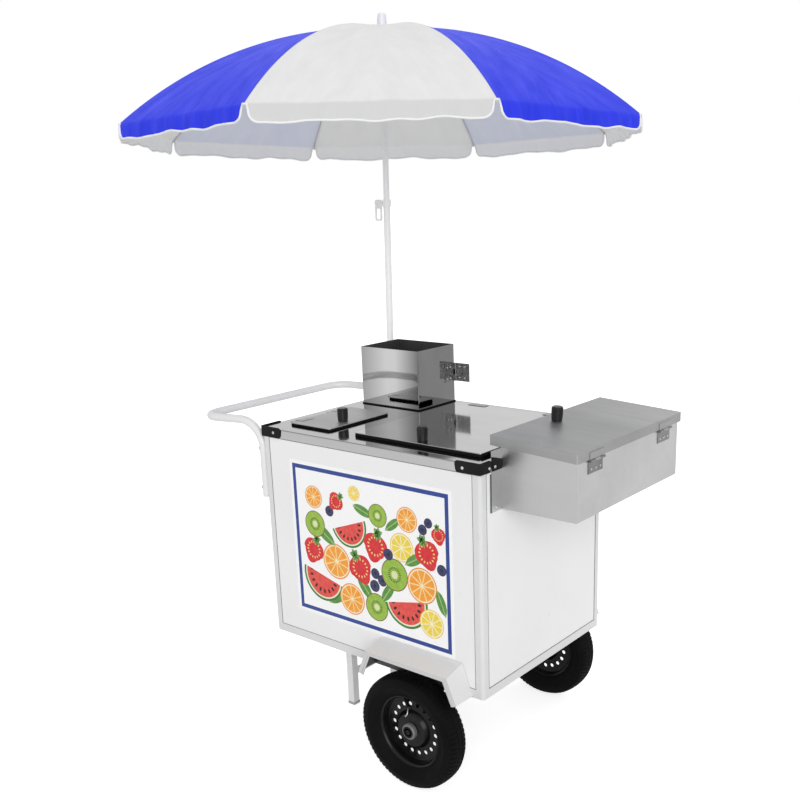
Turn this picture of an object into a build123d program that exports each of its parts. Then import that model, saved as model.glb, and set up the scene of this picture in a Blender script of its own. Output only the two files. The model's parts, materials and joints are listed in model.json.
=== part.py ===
from build123d import *
import os
from math import asin, atan2, cos, degrees, radians, sin, sqrt, tan

os.makedirs("parts", exist_ok=True)

# Body, the driving sizes in millimetres
body_length = 800.0
body_width = 600.0
body_bottom = 306.0
counter_height = 956.0
apron_height = 27.0
counter_sheet = 1.5
post_width = 25.0
post_wall = 2.0
post_corner = 10.0
rail_height = 25.0
rail_depth = 20.0
rail_wall = 1.5
panel_thickness = 3.0
panel_recess = 1.0
panel_seam = 0.6
floor_thickness = 2.0

handle_face = -body_length / 2
box_face = body_length / 2
front_face = -body_width / 2
back_face = body_width / 2
apron_bottom = counter_height - apron_height
rail_top = body_bottom + rail_height

# Corner brackets
bracket_thickness = 3.0
bracket_height = 31.0
bracket_proud = 4.0
bracket_top_leg = 80.0
bracket_bottom_leg = 75.0
bracket_corner = 9.0
bracket_gap = 0.5
plate_near_rise = 11.0
plate_far_rise = -2.0
plate_inset = 1.0
plate_corner = 4.0

# Tubs and counter lids
lid_sheet = 2.0
lid_corner = 8.0
lid_edge = 0.8
lid_front_inset = 59.0
small_lid_inset = 59.0
small_lid_size = (162.0, 258.0)
large_lid_inset = 40.0
large_lid_size = (442.0, 485.0)
seal_width = 12.0
small_seal_height = 5.0
large_seal_height = 8.0
tub_inset = 16.0
tub_flange_width = 14.0
tub_flange = 1.0
tub_wall = 1.0
tub_corner = 20.0
tub_clearance = 1.0
small_tub_depth = 200.0
large_tub_depth = 300.0

small_lid_place = (
    handle_face + small_lid_inset + small_lid_size[0] / 2,
    front_face + lid_front_inset + small_lid_size[1] / 2,
)
large_lid_place = (
    box_face - large_lid_inset - large_lid_size[0] / 2,
    front_face + lid_front_inset + large_lid_size[1] / 2,
)
small_lid_base = tub_flange + small_seal_height
large_lid_base = tub_flange + large_seal_height

# Knobs
knob_height = 40.0
knob_stud_radius = 12.0
knob_stud_height = 1.0
knob_base_radius = 14.5
knob_waist_radius = 15.6
knob_belly_radius = 16.0
knob_top_round = 3.0
knob_groove_height = 29.0
knob_groove_width = 1.6
knob_groove_depth = 1.4
small_knob_shift = (43.0, -33.0)
large_knob_shift = (4.0, -212.5)
side_knob_shift = (20.0, -38.5)

small_knob_place = (small_lid_place[0] + small_knob_shift[0], small_lid_place[1] + small_knob_shift[1])
large_knob_place = (large_lid_place[0] + large_knob_shift[0], large_lid_place[1] + large_knob_shift[1])

# Butt hinges
leaf_sheet = 1.5
leaf_width = 24.0
barrel_radius = 3.5
pin_radius = 1.5
pin_clearance = 0.05
knuckle_gap = 0.4
hinge_setback = 5.5
pin_height = 4.5
leaf_foot = 2.0
small_hinge_length = 45.0
small_hinge_inset = 52.0
large_hinge_length = 62.0
large_hinge_inset = 84.0
side_hinge_length = 70.0
side_hinge_inset = 86.0
side_leaf_drop = 34.0
side_leaf_rise = 18.0
rim_to_barrel = 0.8

# Side box and its lid
box_wall = 1.2
box_depth = 223.0
box_drop = 137.0
box_front_inset = 92.0
box_back_overhang = 31.0
box_flange_width = 45.0
box_flange_rise = 26.0
side_lid_reach = 32.0
side_lid_overhang = 5.0
side_lid_front = 6.0
side_lid_back = 12.0
side_lid_inner_rise = 56.0
side_lid_outer_rise = 41.0
side_lid_rim = 26.0
side_lid_corner = 4.0
side_lid_gap = 0.3

box_bottom = counter_height - box_drop
box_front = front_face + box_front_inset
box_back = back_face + box_back_overhang
box_outer = box_face + box_depth
side_knob_place = (box_face + side_knob_shift[0], (box_front + box_back) / 2 + side_knob_shift[1])
side_lid_in = box_face - side_lid_reach
side_lid_out = box_outer + side_lid_overhang
side_lid_slope = (side_lid_inner_rise - side_lid_outer_rise) / (side_lid_out - side_lid_in)


def side_lid_top(x):
    """Height of the sloping lid's top sheet at x."""
    return counter_height + side_lid_inner_rise - (x - side_lid_in) * side_lid_slope


# Cup holder
holder_length = 235.0
holder_width = 182.0
holder_height = 185.0
holder_inset = 31.0
holder_back_inset = 9.0
holder_sheet = 1.2
holder_leaf_width = 50.0
holder_leaf_length = 58.0
holder_leaf_base = 67.0
holder_pin_offset = 5.5

holder_place = (
    handle_face + holder_inset + holder_length / 2,
    back_face - holder_back_inset - holder_width / 2,
)

# Push handle
grip_radius = 12.5
grip_wall = 1.5
grip_reach = 271.0
grip_rise = 3.4
grip_sag = 9.0
grip_splay = 24.7
grip_inset = 14.0
grip_drop = 233.4
grip_bend = 65.0
grip_knee = 84.0
grip_gap = 0.5
lug_radius = 6.0
lug_length = 8.0
lug_drops = (73.0, 195.0)

# Wheels, axle and fenders
tyre_radius = 168.0
tyre_half_width = 38.0
tyre_wall = 9.0
tyre_bead_points = ((0.0, 0.0), (4.0, 1.0), (15.0, 7.0))
tyre_shoulder_points = ((38.0, 2.5), (24.0, 0.0), (9.0, 5.0), (2.0, 14.0), (0.0, 26.0))
tyre_crown_tuck = 20.0
rim_radius = 101.0
rim_bead_half = 22.0
rim_flange_height = 10.0
rim_lip = 4.5
rim_sheet = 3.0
rim_gap = 0.5
rim_hole_ring_radius = 74.0
rim_hole_radius = 6.0
rim_holes = 18
dish_radius = 48.0
dish_foot_radius = 58.0
dish_rise = 16.0
disc_inset = 8.0
hub_radius = 18.0
hub_inner_length = 36.0
hub_outer_length = 17.0
cap_radius = 23.0
cap_wall = 3.0
cap_height = 13.0
axle_radius = 10.0
axle_clearance = 0.05
wheel_gap = 3.0
wheel_inset = 217.0
hanger_thickness = 6.0
hanger_inset = 7.0
hanger_top_width = 160.0
hanger_foot_radius = 24.0
fender_shift = 4.5
fender_length = 288.0
fender_back_rise = 91.0
fender_front_rise = 74.0
fender_depth = 72.0
fender_sheet = 2.0
fender_lip = 12.0
flap_out = 31.0
flap_foot_rise = 3.0

axle_height = tyre_radius
wheel_place = box_face - wheel_inset
wheel_offset = body_width / 2 + wheel_gap + tyre_half_width

# Legs
leg_width = 25.0
leg_wall = 1.5
leg_foot_thickness = 3.0
leg_inset = 124.5
leg_spread = 104.5
brace_height = 110.0
brace_depth = 12.0
brace_width = 20.0

leg_place = handle_face + leg_inset

# Umbrella, heights run up the pole from the counter
pole_inset = 16.5
pole_back_inset = 35.0
pole_lean_x = -0.7
pole_lean_y = 2.0
lower_pole_radius = 11.0
upper_pole_radius = 9.5
pole_clearance = 0.05
lower_pole_height = 632.0
pole_overlap_length = 330.0
socket_depth = 250.0
socket_rise = 8.0
socket_wall = 1.45
socket_floor = 3.0
socket_washer = 14.0
socket_clearance = 0.15
collar_radius = 13.5
collar_height = 22.0
rib_count = 8
rib_turn = -28.6
rim_reach = 808.0
apex_height = 1142.0
dome_rise = 293.0
cloth_thickness = 1.2
canopy_levels = 9
canopy_hole_radius = 9.0
valance_height = 47.0
valance_notch = 9.0
valance_round = 26.0
rib_wire_radius = 2.0
rib_drop = 4.8
rib_tip_radius = 3.5
rib_reach = 805.0
crown_hinge_radius = 22.0
crown_radius = 27.0
crown_hub_radius = 15.0
crown_length = 46.0
crown_ring_height = 9.0
crown_gap = 1.6
cap_gap = 0.6
slot_width = 5.6
cap_stem_radius = 8.0
cap_base_radius = 16.0
cap_rise = 44.0
cap_taper = 3.0
cap_round = 4.0
runner_height = 974.0
runner_hinge_radius = 20.0
runner_radius = 25.0
runner_sleeve_radius = 15.0
runner_length = 46.0
runner_ring_height = 10.0
stretcher_wire_radius = 2.0
stretcher_reach = 240.0
stretcher_offset = 4.6
clip_turn = 219.7
clip_width = 24.0
clip_length = 66.0
clip_thickness = 6.0
clip_pin_radius = 2.5
clip_slot = (9.0, 32.0)

dome_radius = (rim_reach**2 + dome_rise**2) / (2 * dome_rise)
rim_angle = asin(rim_reach / dome_radius)
socket_radius = lower_pole_radius + pole_clearance + socket_wall
pole_axis = Vector(tan(radians(pole_lean_x)), tan(radians(pole_lean_y)), 1)
pole_plane = Plane(
    origin=(handle_face + pole_inset, back_face - pole_back_inset, counter_height),
    x_dir=(1, 0, 0),
    z_dir=pole_axis,
)


def dome_height(radius):
    """Height of the canopy's outer skin over a rib at this distance from the pole."""
    return apex_height - dome_radius + sqrt(dome_radius**2 - radius**2)


def radial_plane(angle):
    """Plane through the pole: local x runs outward, local y up the pole."""
    turn = radians(angle)
    outward = pole_plane.x_dir * cos(turn) + pole_plane.y_dir * sin(turn)
    return Plane(origin=pole_plane.origin, x_dir=outward, z_dir=outward.cross(pole_plane.z_dir))


def section(plane, along):
    """Cross-section plane of a hinge: sketch axes are the hinge's y and z, its normal the pin."""
    return Plane(origin=plane.from_local_coords((along, 0, 0)), x_dir=plane.y_dir, z_dir=plane.x_dir)


# Counter top with its folded apron
with BuildPart() as counter_top:
    with BuildSketch(Plane.XY.offset(apron_bottom)):
        RectangleRounded(body_length, body_width, post_corner)
    extrude(amount=apron_height)
    offset(amount=-counter_sheet, openings=counter_top.faces().sort_by(Axis.Z)[0])
    with BuildSketch(Plane.XY.offset(counter_height)):
        for place, size in ((small_lid_place, small_lid_size), (large_lid_place, large_lid_size)):
            with Locations(place):
                RectangleRounded(
                    size[0] - 2 * tub_inset + 2 * tub_clearance,
                    size[1] - 2 * tub_inset + 2 * tub_clearance,
                    tub_corner + tub_clearance,
                )
    extrude(amount=-2 * counter_sheet, mode=Mode.SUBTRACT)
    with BuildSketch(pole_plane):
        Circle(socket_radius + socket_clearance)
    extrude(amount=apron_height / 2, both=True, mode=Mode.SUBTRACT)
counter_top.part.label = "counter_top"
export_step(counter_top.part, "parts/counter_top.step")

# Corner posts of folded angle
with BuildPart() as corner_posts:
    with BuildSketch(Plane.XY.offset(body_bottom)) as post_outline:
        with BuildLine():
            Polyline(
                (box_face, back_face),
                (box_face - post_width, back_face),
                (box_face - post_width, back_face - post_wall),
                (box_face - post_wall, back_face - post_wall),
                (box_face - post_wall, back_face - post_width),
                (box_face, back_face - post_width),
                close=True,
            )
        make_face()
        outer_corner = post_outline.vertices().sort_by_distance((box_face, back_face, body_bottom))[0]
        fillet(outer_corner, post_corner)
        inner_corner = post_outline.vertices().sort_by_distance(
            (box_face - post_wall, back_face - post_wall, body_bottom)
        )[0]
        fillet(inner_corner, post_corner - post_wall)
    extrude(amount=apron_bottom - body_bottom)
    mirror(about=Plane.YZ)
    mirror(about=Plane.XZ)
corner_posts.part.label = "corner_posts"
export_step(corner_posts.part, "parts/corner_posts.step")

# Bottom rails between the posts
with BuildPart() as bottom_rails:
    long_rail = body_length - 2 * post_width
    short_rail = body_width - 2 * post_width
    rail_middle = body_bottom + rail_height / 2
    with BuildSketch(Plane.YZ.offset(-long_rail / 2)):
        with Locations((front_face + rail_depth / 2, rail_middle), (back_face - rail_depth / 2, rail_middle)):
            Rectangle(rail_depth, rail_height)
            Rectangle(rail_depth - 2 * rail_wall, rail_height - 2 * rail_wall, mode=Mode.SUBTRACT)
    extrude(amount=long_rail)
    with BuildSketch(Plane.XZ.offset(-short_rail / 2)):
        with Locations((handle_face + rail_depth / 2, rail_middle), (box_face - rail_depth / 2, rail_middle)):
            Rectangle(rail_depth, rail_height)
            Rectangle(rail_depth - 2 * rail_wall, rail_height - 2 * rail_wall, mode=Mode.SUBTRACT)
    extrude(amount=short_rail)
bottom_rails.part.label = "bottom_rails"
export_step(bottom_rails.part, "parts/bottom_rails.step")

# Side panels, set in a little between the posts
panel_rise = apron_bottom - rail_top - panel_seam
panel_middle = rail_top + panel_rise / 2
long_panel = body_length - 2 * post_width - 2 * panel_seam
short_panel = body_width - 2 * post_width - 2 * panel_seam

with BuildPart() as front_panel:
    with BuildSketch(Plane.XZ.offset(-front_face - panel_recess)):
        with Locations((0, panel_middle)):
            Rectangle(long_panel, panel_rise)
    extrude(amount=-panel_thickness)
front_panel.part.label = "front_panel"
export_step(front_panel.part, "parts/front_panel.step")

with BuildPart() as back_panel:
    with BuildSketch(Plane.XZ.offset(-back_face + panel_recess)):
        with Locations((0, panel_middle)):
            Rectangle(long_panel, panel_rise)
    extrude(amount=panel_thickness)
back_panel.part.label = "back_panel"
export_step(back_panel.part, "parts/back_panel.step")

with BuildPart() as handle_end_panel:
    with BuildSketch(Plane.YZ.offset(handle_face + panel_recess)):
        with Locations((0, panel_middle)):
            Rectangle(short_panel, panel_rise)
    extrude(amount=panel_thickness)
handle_end_panel.part.label = "handle_end_panel"
export_step(handle_end_panel.part, "parts/handle_end_panel.step")

with BuildPart() as box_end_panel:
    with BuildSketch(Plane.YZ.offset(box_face - panel_recess)):
        with Locations((0, panel_middle)):
            Rectangle(short_panel, panel_rise)
    extrude(amount=-panel_thickness)
box_end_panel.part.label = "box_end_panel"
export_step(box_end_panel.part, "parts/box_end_panel.step")

# Floor lying on the rails, notched round the posts
with BuildPart() as floor_panel:
    floor_inset = panel_recess + panel_thickness + panel_seam
    with BuildSketch(Plane.XY.offset(rail_top)):
        Rectangle(body_length - 2 * floor_inset, body_width - 2 * post_width)
        Rectangle(body_length - 2 * post_width, body_width - 2 * floor_inset)
    extrude(amount=floor_thickness)
floor_panel.part.label = "floor_panel"
export_step(floor_panel.part, "parts/floor_panel.step")


def corner_bracket(side_x, side_y, across_leg):
    """Angle bracket round one counter corner, its ends straight with rounded corners."""
    corner = Vector(side_x * box_face, side_y * back_face, counter_height + bracket_proud - bracket_height)
    slant = bracket_top_leg - bracket_bottom_leg
    along = Plane(
        origin=corner + Vector(side_x * bracket_thickness, 0, 0),
        x_dir=(-side_x, 0, 0),
        z_dir=(0, side_x, 0),
    )
    across = Plane(
        origin=corner + Vector(0, side_y * bracket_thickness, 0),
        x_dir=(0, -side_y, 0),
        z_dir=(-side_y, 0, 0),
    )
    edge_point = corner + Vector(side_x * bracket_thickness, side_y * bracket_thickness, bracket_height / 2)
    with BuildPart() as bracket:
        for plane, leg, turn in ((along, bracket_top_leg, 1), (across, across_leg, -1)):
            with BuildSketch(plane) as outline:
                with BuildLine():
                    Polyline(
                        (0, 0),
                        (bracket_thickness + leg - slant, 0),
                        (bracket_thickness + leg, bracket_height),
                        (0, bracket_height),
                        close=True,
                    )
                make_face()
                fillet(outline.vertices().sort_by(Axis.X)[-2:], bracket_corner)
            extrude(amount=turn * bracket_thickness * side_x * side_y)
        fillet(bracket.edges().filter_by(Axis.Z).sort_by_distance(edge_point)[0], bracket_thickness)
    return bracket.part


# Plate that ties the side box's flange to the counter's corner
with BuildPart() as flange_plate:
    plate_bottom = counter_height + bracket_proud - bracket_height
    with BuildSketch(Plane.YZ.offset(box_face + box_wall)) as plate_outline:
        with BuildLine():
            Polyline(
                (box_front - box_flange_width + plate_inset, plate_bottom),
                (box_front - plate_inset, plate_bottom),
                (box_front - plate_inset, counter_height + plate_far_rise),
                (box_front - box_flange_width + plate_inset, counter_height + plate_near_rise),
                close=True,
            )
        make_face()
        fillet(plate_outline.vertices().sort_by(Axis.X)[-2:], plate_corner)
    extrude(amount=bracket_thickness)

# Black brackets; the one by the side box stops short of that box's flange
short_leg = box_front_inset - box_flange_width - bracket_gap
bracket_set = [
    corner_bracket(-1, -1, bracket_top_leg),
    corner_bracket(-1, 1, bracket_top_leg),
    corner_bracket(1, -1, short_leg),
    flange_plate.part,
]
with BuildPart() as corner_brackets:
    for one_bracket in bracket_set:
        add(one_bracket)
corner_brackets.part.label = "corner_brackets"
export_step(corner_brackets.part, "parts/corner_brackets.step")


def tub(place, size, depth):
    """Drop-in tub hanging by its flange on the counter."""
    mouth = (size[0] - 2 * tub_inset, size[1] - 2 * tub_inset)
    with BuildPart() as vessel:
        with BuildSketch(Plane.XY.offset(counter_height + tub_flange)):
            with Locations(place):
                RectangleRounded(*mouth, tub_corner)
        extrude(amount=-depth)
        fillet(vessel.faces().sort_by(Axis.Z)[0].edges(), tub_corner / 2)
        offset(amount=-tub_wall, openings=vessel.faces().sort_by(Axis.Z)[-1])
        with BuildSketch(Plane.XY.offset(counter_height)):
            with Locations(place):
                RectangleRounded(
                    mouth[0] + 2 * tub_flange_width,
                    mouth[1] + 2 * tub_flange_width,
                    tub_corner + tub_flange_width,
                )
                RectangleRounded(mouth[0] - tub_wall, mouth[1] - tub_wall, tub_corner, mode=Mode.SUBTRACT)
        extrude(amount=tub_flange)
    return vessel.part


small_tub = tub(small_lid_place, small_lid_size, small_tub_depth)
small_tub.label = "small_tub"
export_step(small_tub, "parts/small_tub.step")

large_tub = tub(large_lid_place, large_lid_size, large_tub_depth)
large_tub.label = "large_tub"
export_step(large_tub, "parts/large_tub.step")


def counter_lid(place, size, base):
    """Flat lid sheet with softened top edges."""
    with BuildPart() as lid:
        with BuildSketch(Plane.XY.offset(counter_height + base)):
            with Locations(place):
                RectangleRounded(*size, lid_corner)
        extrude(amount=lid_sheet)
        fillet(lid.faces().sort_by(Axis.Z)[-1].edges(), lid_edge)
    return lid.part


def lid_seal(place, size, height):
    """Rubber frame between a lid and its tub flange."""
    with BuildPart() as seal:
        with BuildSketch(Plane.XY.offset(counter_height + tub_flange)):
            with Locations(place):
                RectangleRounded(*size, lid_corner)
                RectangleRounded(size[0] - 2 * seal_width, size[1] - 2 * seal_width, lid_corner, mode=Mode.SUBTRACT)
        extrude(amount=height)
    return seal.part


def knob(plane):
    """Turned knob with a grooved cap, standing on the plane."""
    upright = Plane(origin=plane.origin, x_dir=plane.x_dir, z_dir=-plane.y_dir)
    with BuildPart() as turned:
        with BuildSketch(upright):
            with BuildLine():
                Polyline(
                    (0, knob_height),
                    (0, 0),
                    (knob_stud_radius, 0),
                    (knob_stud_radius, knob_stud_height),
                    (knob_base_radius, knob_stud_height),
                )
                ThreePointArc(
                    (knob_base_radius, knob_stud_height),
                    (knob_waist_radius, (knob_stud_height + knob_groove_height) / 2),
                    (knob_belly_radius, knob_groove_height),
                )
                Polyline(
                    (knob_belly_radius, knob_groove_height),
                    (knob_belly_radius - knob_groove_depth, knob_groove_height),
                    (knob_belly_radius - knob_groove_depth, knob_groove_height + knob_groove_width),
                    (knob_belly_radius, knob_groove_height + knob_groove_width),
                    (knob_belly_radius, knob_height - knob_top_round),
                    (knob_belly_radius - knob_top_round, knob_height),
                    (0, knob_height),
                )
            make_face()
        revolve(axis=Axis(plane.origin, plane.z_dir))
    return turned.part


small_lid = counter_lid(small_lid_place, small_lid_size, small_lid_base)
small_lid.label = "small_lid"
export_step(small_lid, "parts/small_lid.step")

small_lid_seal = lid_seal(small_lid_place, small_lid_size, small_seal_height)
small_lid_seal.label = "small_lid_seal"
export_step(small_lid_seal, "parts/small_lid_seal.step")

small_knob_base = counter_height + small_lid_base + lid_sheet
small_lid_knob = knob(Plane(origin=(*small_knob_place, small_knob_base)))
small_lid_knob.label = "small_lid_knob"
export_step(small_lid_knob, "parts/small_lid_knob.step")

large_lid = counter_lid(large_lid_place, large_lid_size, large_lid_base)
large_lid.label = "large_lid"
export_step(large_lid, "parts/large_lid.step")

large_lid_seal = lid_seal(large_lid_place, large_lid_size, large_seal_height)
large_lid_seal.label = "large_lid_seal"
export_step(large_lid_seal, "parts/large_lid_seal.step")

large_knob_base = counter_height + large_lid_base + lid_sheet
large_lid_knob = knob(Plane(origin=(*large_knob_place, large_knob_base)))
large_lid_knob.label = "large_lid_knob"
export_step(large_lid_knob, "parts/large_lid_knob.step")

# Cup holder, an open-topped box
with BuildPart() as cup_holder:
    with BuildSketch(Plane.XY.offset(counter_height)):
        with Locations(holder_place):
            RectangleRounded(holder_length, holder_width, 2 * holder_sheet)
    extrude(amount=holder_height)
    offset(amount=-holder_sheet, openings=cup_holder.faces().sort_by(Axis.Z)[-1])
cup_holder.part.label = "cup_holder"
export_step(cup_holder.part, "parts/cup_holder.step")

# Side box: sloping mouth, walls and a fixing flange against the body
with BuildPart() as side_box:
    mouth_drop = box_wall + side_lid_gap
    with BuildSketch(Plane.XZ.offset(-box_back)):
        with BuildLine():
            Polyline(
                (box_face, box_bottom),
                (box_outer, box_bottom),
                (box_outer, side_lid_top(box_outer) - mouth_drop),
                (box_face, side_lid_top(box_face) - mouth_drop),
                close=True,
            )
        make_face()
    extrude(amount=box_back - box_front)
    offset(amount=-box_wall, openings=side_box.faces().sort_by(Axis.Z)[-1])
    with BuildSketch(Plane.YZ.offset(box_face)):
        with Locations((box_front - box_flange_width, box_bottom)):
            Rectangle(
                box_flange_width + box_wall,
                counter_height + box_flange_rise - box_bottom,
                align=(Align.MIN, Align.MIN),
            )
    extrude(amount=box_wall)
side_box.part.label = "side_box"
export_step(side_box.part, "parts/side_box.step")

# Side box lid, a sloping pan with a deep rim
with BuildPart() as side_lid:
    with BuildSketch(Plane.XZ.offset(-box_back - side_lid_back)):
        with BuildLine():
            Polyline(
                (side_lid_in, side_lid_top(side_lid_in) - side_lid_rim),
                (side_lid_out, side_lid_top(side_lid_out) - side_lid_rim),
                (side_lid_out, side_lid_top(side_lid_out)),
                (side_lid_in, side_lid_top(side_lid_in)),
                close=True,
            )
        make_face()
    extrude(amount=box_back + side_lid_back - box_front + side_lid_front)
    fillet(side_lid.edges().filter_by(Axis.Z), side_lid_corner)
    offset(amount=-box_wall, openings=side_lid.faces().sort_by(Axis.Z)[0])
side_lid.part.label = "side_lid"
export_step(side_lid.part, "parts/side_lid.step")

side_knob_plane = Plane(
    origin=(*side_knob_place, side_lid_top(side_knob_place[0])),
    x_dir=(1, 0, -side_lid_slope),
    z_dir=(side_lid_slope, 0, 1),
)
side_lid_knob = knob(side_knob_plane)
side_lid_knob.label = "side_lid_knob"
export_step(side_lid_knob, "parts/side_lid_knob.step")


def counter_fixed_leaf(plane, length):
    """Fixed leaf lying on the counter: two knuckles and the pin."""
    third = length / 3
    with BuildPart() as leaf:
        with BuildSketch(section(plane, -length / 2)):
            with Locations((-leaf_width / 2, leaf_sheet / 2)):
                Rectangle(leaf_width, leaf_sheet)
        extrude(amount=length)
        with BuildSketch(section(plane, -third / 2 - knuckle_gap)):
            Rectangle(2 * (barrel_radius + knuckle_gap), 2 * pin_height)
        extrude(amount=third + 2 * knuckle_gap, mode=Mode.SUBTRACT)
        for start in (-length / 2, third / 2 + knuckle_gap):
            with BuildSketch(section(plane, start)):
                with Locations((0, pin_height)):
                    Circle(barrel_radius)
            extrude(amount=third - knuckle_gap)
        with BuildSketch(section(plane, -length / 2)):
            with Locations((0, pin_height)):
                Circle(pin_radius)
        extrude(amount=length)
    return leaf.part


def counter_moving_leaf(plane, length, lid_top):
    """Moving leaf folded over the lid's edge, with the middle knuckle."""
    third = length / 3
    with BuildPart() as leaf:
        with BuildSketch(section(plane, -third / 2)):
            with Locations((0, pin_height)):
                Circle(barrel_radius)
            with Locations((hinge_setback / 2, pin_height)):
                Rectangle(hinge_setback, barrel_radius)
        extrude(amount=third)
        with BuildSketch(section(plane, -length / 2)):
            with Locations((hinge_setback, leaf_foot)):
                Rectangle(leaf_sheet, lid_top + leaf_sheet - leaf_foot, align=(Align.MAX, Align.MIN))
            with Locations((hinge_setback - leaf_sheet, lid_top)):
                Rectangle(leaf_width, leaf_sheet, align=(Align.MIN, Align.MIN))
        extrude(amount=length)
        with BuildSketch(section(plane, -length / 2)):
            with Locations((0, pin_height)):
                Circle(pin_radius + pin_clearance)
        extrude(amount=length, mode=Mode.SUBTRACT)
    return leaf.part


def wall_fixed_leaf(plane, length, drop, packing):
    """Fixed leaf on a wall that lies packing behind the pin."""
    third = length / 3
    with BuildPart() as leaf:
        with BuildSketch(section(plane, -length / 2)):
            with Locations((0, -packing)):
                Rectangle(drop, leaf_sheet, align=(Align.MAX, Align.MIN))
        extrude(amount=length)
        for start in (-length / 2, third / 2 + knuckle_gap):
            with BuildSketch(section(plane, start)):
                Circle(barrel_radius)
                with Locations((0, -packing)):
                    Rectangle(barrel_radius, packing, align=(Align.MAX, Align.MIN))
            extrude(amount=third - knuckle_gap)
        with BuildSketch(section(plane, -length / 2)):
            Circle(pin_radius)
        extrude(amount=length)
    return leaf.part


def rim_moving_leaf(plane, length, rise):
    """Moving leaf standing up on the lid's rim."""
    third = length / 3
    foot = barrel_radius + rim_to_barrel
    with BuildPart() as leaf:
        with BuildSketch(section(plane, -third / 2)):
            Circle(barrel_radius)
            Rectangle(foot + leaf_sheet, leaf_sheet, align=(Align.MIN, Align.MAX))
        extrude(amount=third)
        with BuildSketch(section(plane, -length / 2)):
            with Locations((foot, 0)):
                Rectangle(rise, leaf_sheet, align=(Align.MIN, Align.MAX))
        extrude(amount=length)
        with BuildSketch(section(plane, -length / 2)):
            Circle(pin_radius + pin_clearance)
        extrude(amount=length, mode=Mode.SUBTRACT)
    return leaf.part


def loose_leaf(plane, length, reach):
    """Free leaf standing straight out from the pin."""
    third = length / 3
    with BuildPart() as leaf:
        with BuildSketch(section(plane, -third / 2)):
            Circle(barrel_radius)
            Rectangle(leaf_sheet, 2 * barrel_radius, align=(Align.CENTER, Align.MIN))
        extrude(amount=third)
        with BuildSketch(section(plane, -length / 2)):
            with Locations((0, barrel_radius + rim_to_barrel)):
                Rectangle(leaf_sheet, reach, align=(Align.CENTER, Align.MIN))
        extrude(amount=length)
        with BuildSketch(section(plane, -length / 2)):
            Circle(pin_radius + pin_clearance)
        extrude(amount=length, mode=Mode.SUBTRACT)
    return leaf.part


# Hinge places: local x along the pin, local y toward the lid
small_hinges = []
for hinge_side in (-1, 1):
    hinge_y = small_lid_place[1] + hinge_side * (small_lid_size[1] / 2 - small_hinge_inset)
    hinge_x = handle_face + small_lid_inset - hinge_setback
    small_hinges.append(Plane(origin=(hinge_x, hinge_y, counter_height), x_dir=(0, -1, 0)))

large_hinges = []
for hinge_side in (-1, 1):
    hinge_x = large_lid_place[0] + hinge_side * (large_lid_size[0] / 2 - large_hinge_inset)
    hinge_y = large_lid_place[1] + large_lid_size[1] / 2 + hinge_setback
    large_hinges.append(Plane(origin=(hinge_x, hinge_y, counter_height), x_dir=(-1, 0, 0)))

side_pin_offset = side_lid_overhang + leaf_sheet
side_pin_height = side_lid_top(side_lid_out) - side_lid_rim - barrel_radius - rim_to_barrel
side_hinges = []
for hinge_y in (box_front + side_hinge_inset, box_back - side_hinge_inset):
    side_hinges.append(
        Plane(origin=(box_outer + side_pin_offset, hinge_y, side_pin_height), x_dir=(0, 1, 0), z_dir=(1, 0, 0))
    )

holder_hinge = Plane(
    origin=(
        holder_place[0] + holder_length / 2 + holder_pin_offset,
        holder_place[1] + holder_width / 2,
        counter_height + holder_leaf_base + holder_leaf_length / 2,
    ),
    x_dir=(0, 0, -1),
    z_dir=(1, 0, 0),
)

# All the fixed halves of the hinges
fixed_set = [counter_fixed_leaf(plane, small_hinge_length) for plane in small_hinges]
fixed_set += [counter_fixed_leaf(plane, large_hinge_length) for plane in large_hinges]
fixed_set += [wall_fixed_leaf(plane, side_hinge_length, side_leaf_drop, side_pin_offset) for plane in side_hinges]
fixed_set.append(wall_fixed_leaf(holder_hinge, holder_leaf_length, holder_leaf_width, holder_pin_offset))
with BuildPart() as fixed_hinge_leaves:
    for one_leaf in fixed_set:
        add(one_leaf)
fixed_hinge_leaves.part.label = "fixed_hinge_leaves"
export_step(fixed_hinge_leaves.part, "parts/fixed_hinge_leaves.step")

small_leaf_set = [
    counter_moving_leaf(plane, small_hinge_length, small_lid_base + lid_sheet) for plane in small_hinges
]
with BuildPart() as small_lid_leaves:
    for one_leaf in small_leaf_set:
        add(one_leaf)
small_lid_leaves.part.label = "small_lid_leaves"
export_step(small_lid_leaves.part, "parts/small_lid_leaves.step")

large_leaf_set = [
    counter_moving_leaf(plane, large_hinge_length, large_lid_base + lid_sheet) for plane in large_hinges
]
with BuildPart() as large_lid_leaves:
    for one_leaf in large_leaf_set:
        add(one_leaf)
large_lid_leaves.part.label = "large_lid_leaves"
export_step(large_lid_leaves.part, "parts/large_lid_leaves.step")

side_leaf_set = [rim_moving_leaf(plane, side_hinge_length, side_leaf_rise) for plane in side_hinges]
with BuildPart() as side_lid_leaves:
    for one_leaf in side_leaf_set:
        add(one_leaf)
side_lid_leaves.part.label = "side_lid_leaves"
export_step(side_lid_leaves.part, "parts/side_lid_leaves.step")

holder_loose_leaf = loose_leaf(holder_hinge, holder_leaf_length, holder_leaf_width)
holder_loose_leaf.label = "holder_loose_leaf"
export_step(holder_loose_leaf, "parts/holder_loose_leaf.step")

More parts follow.
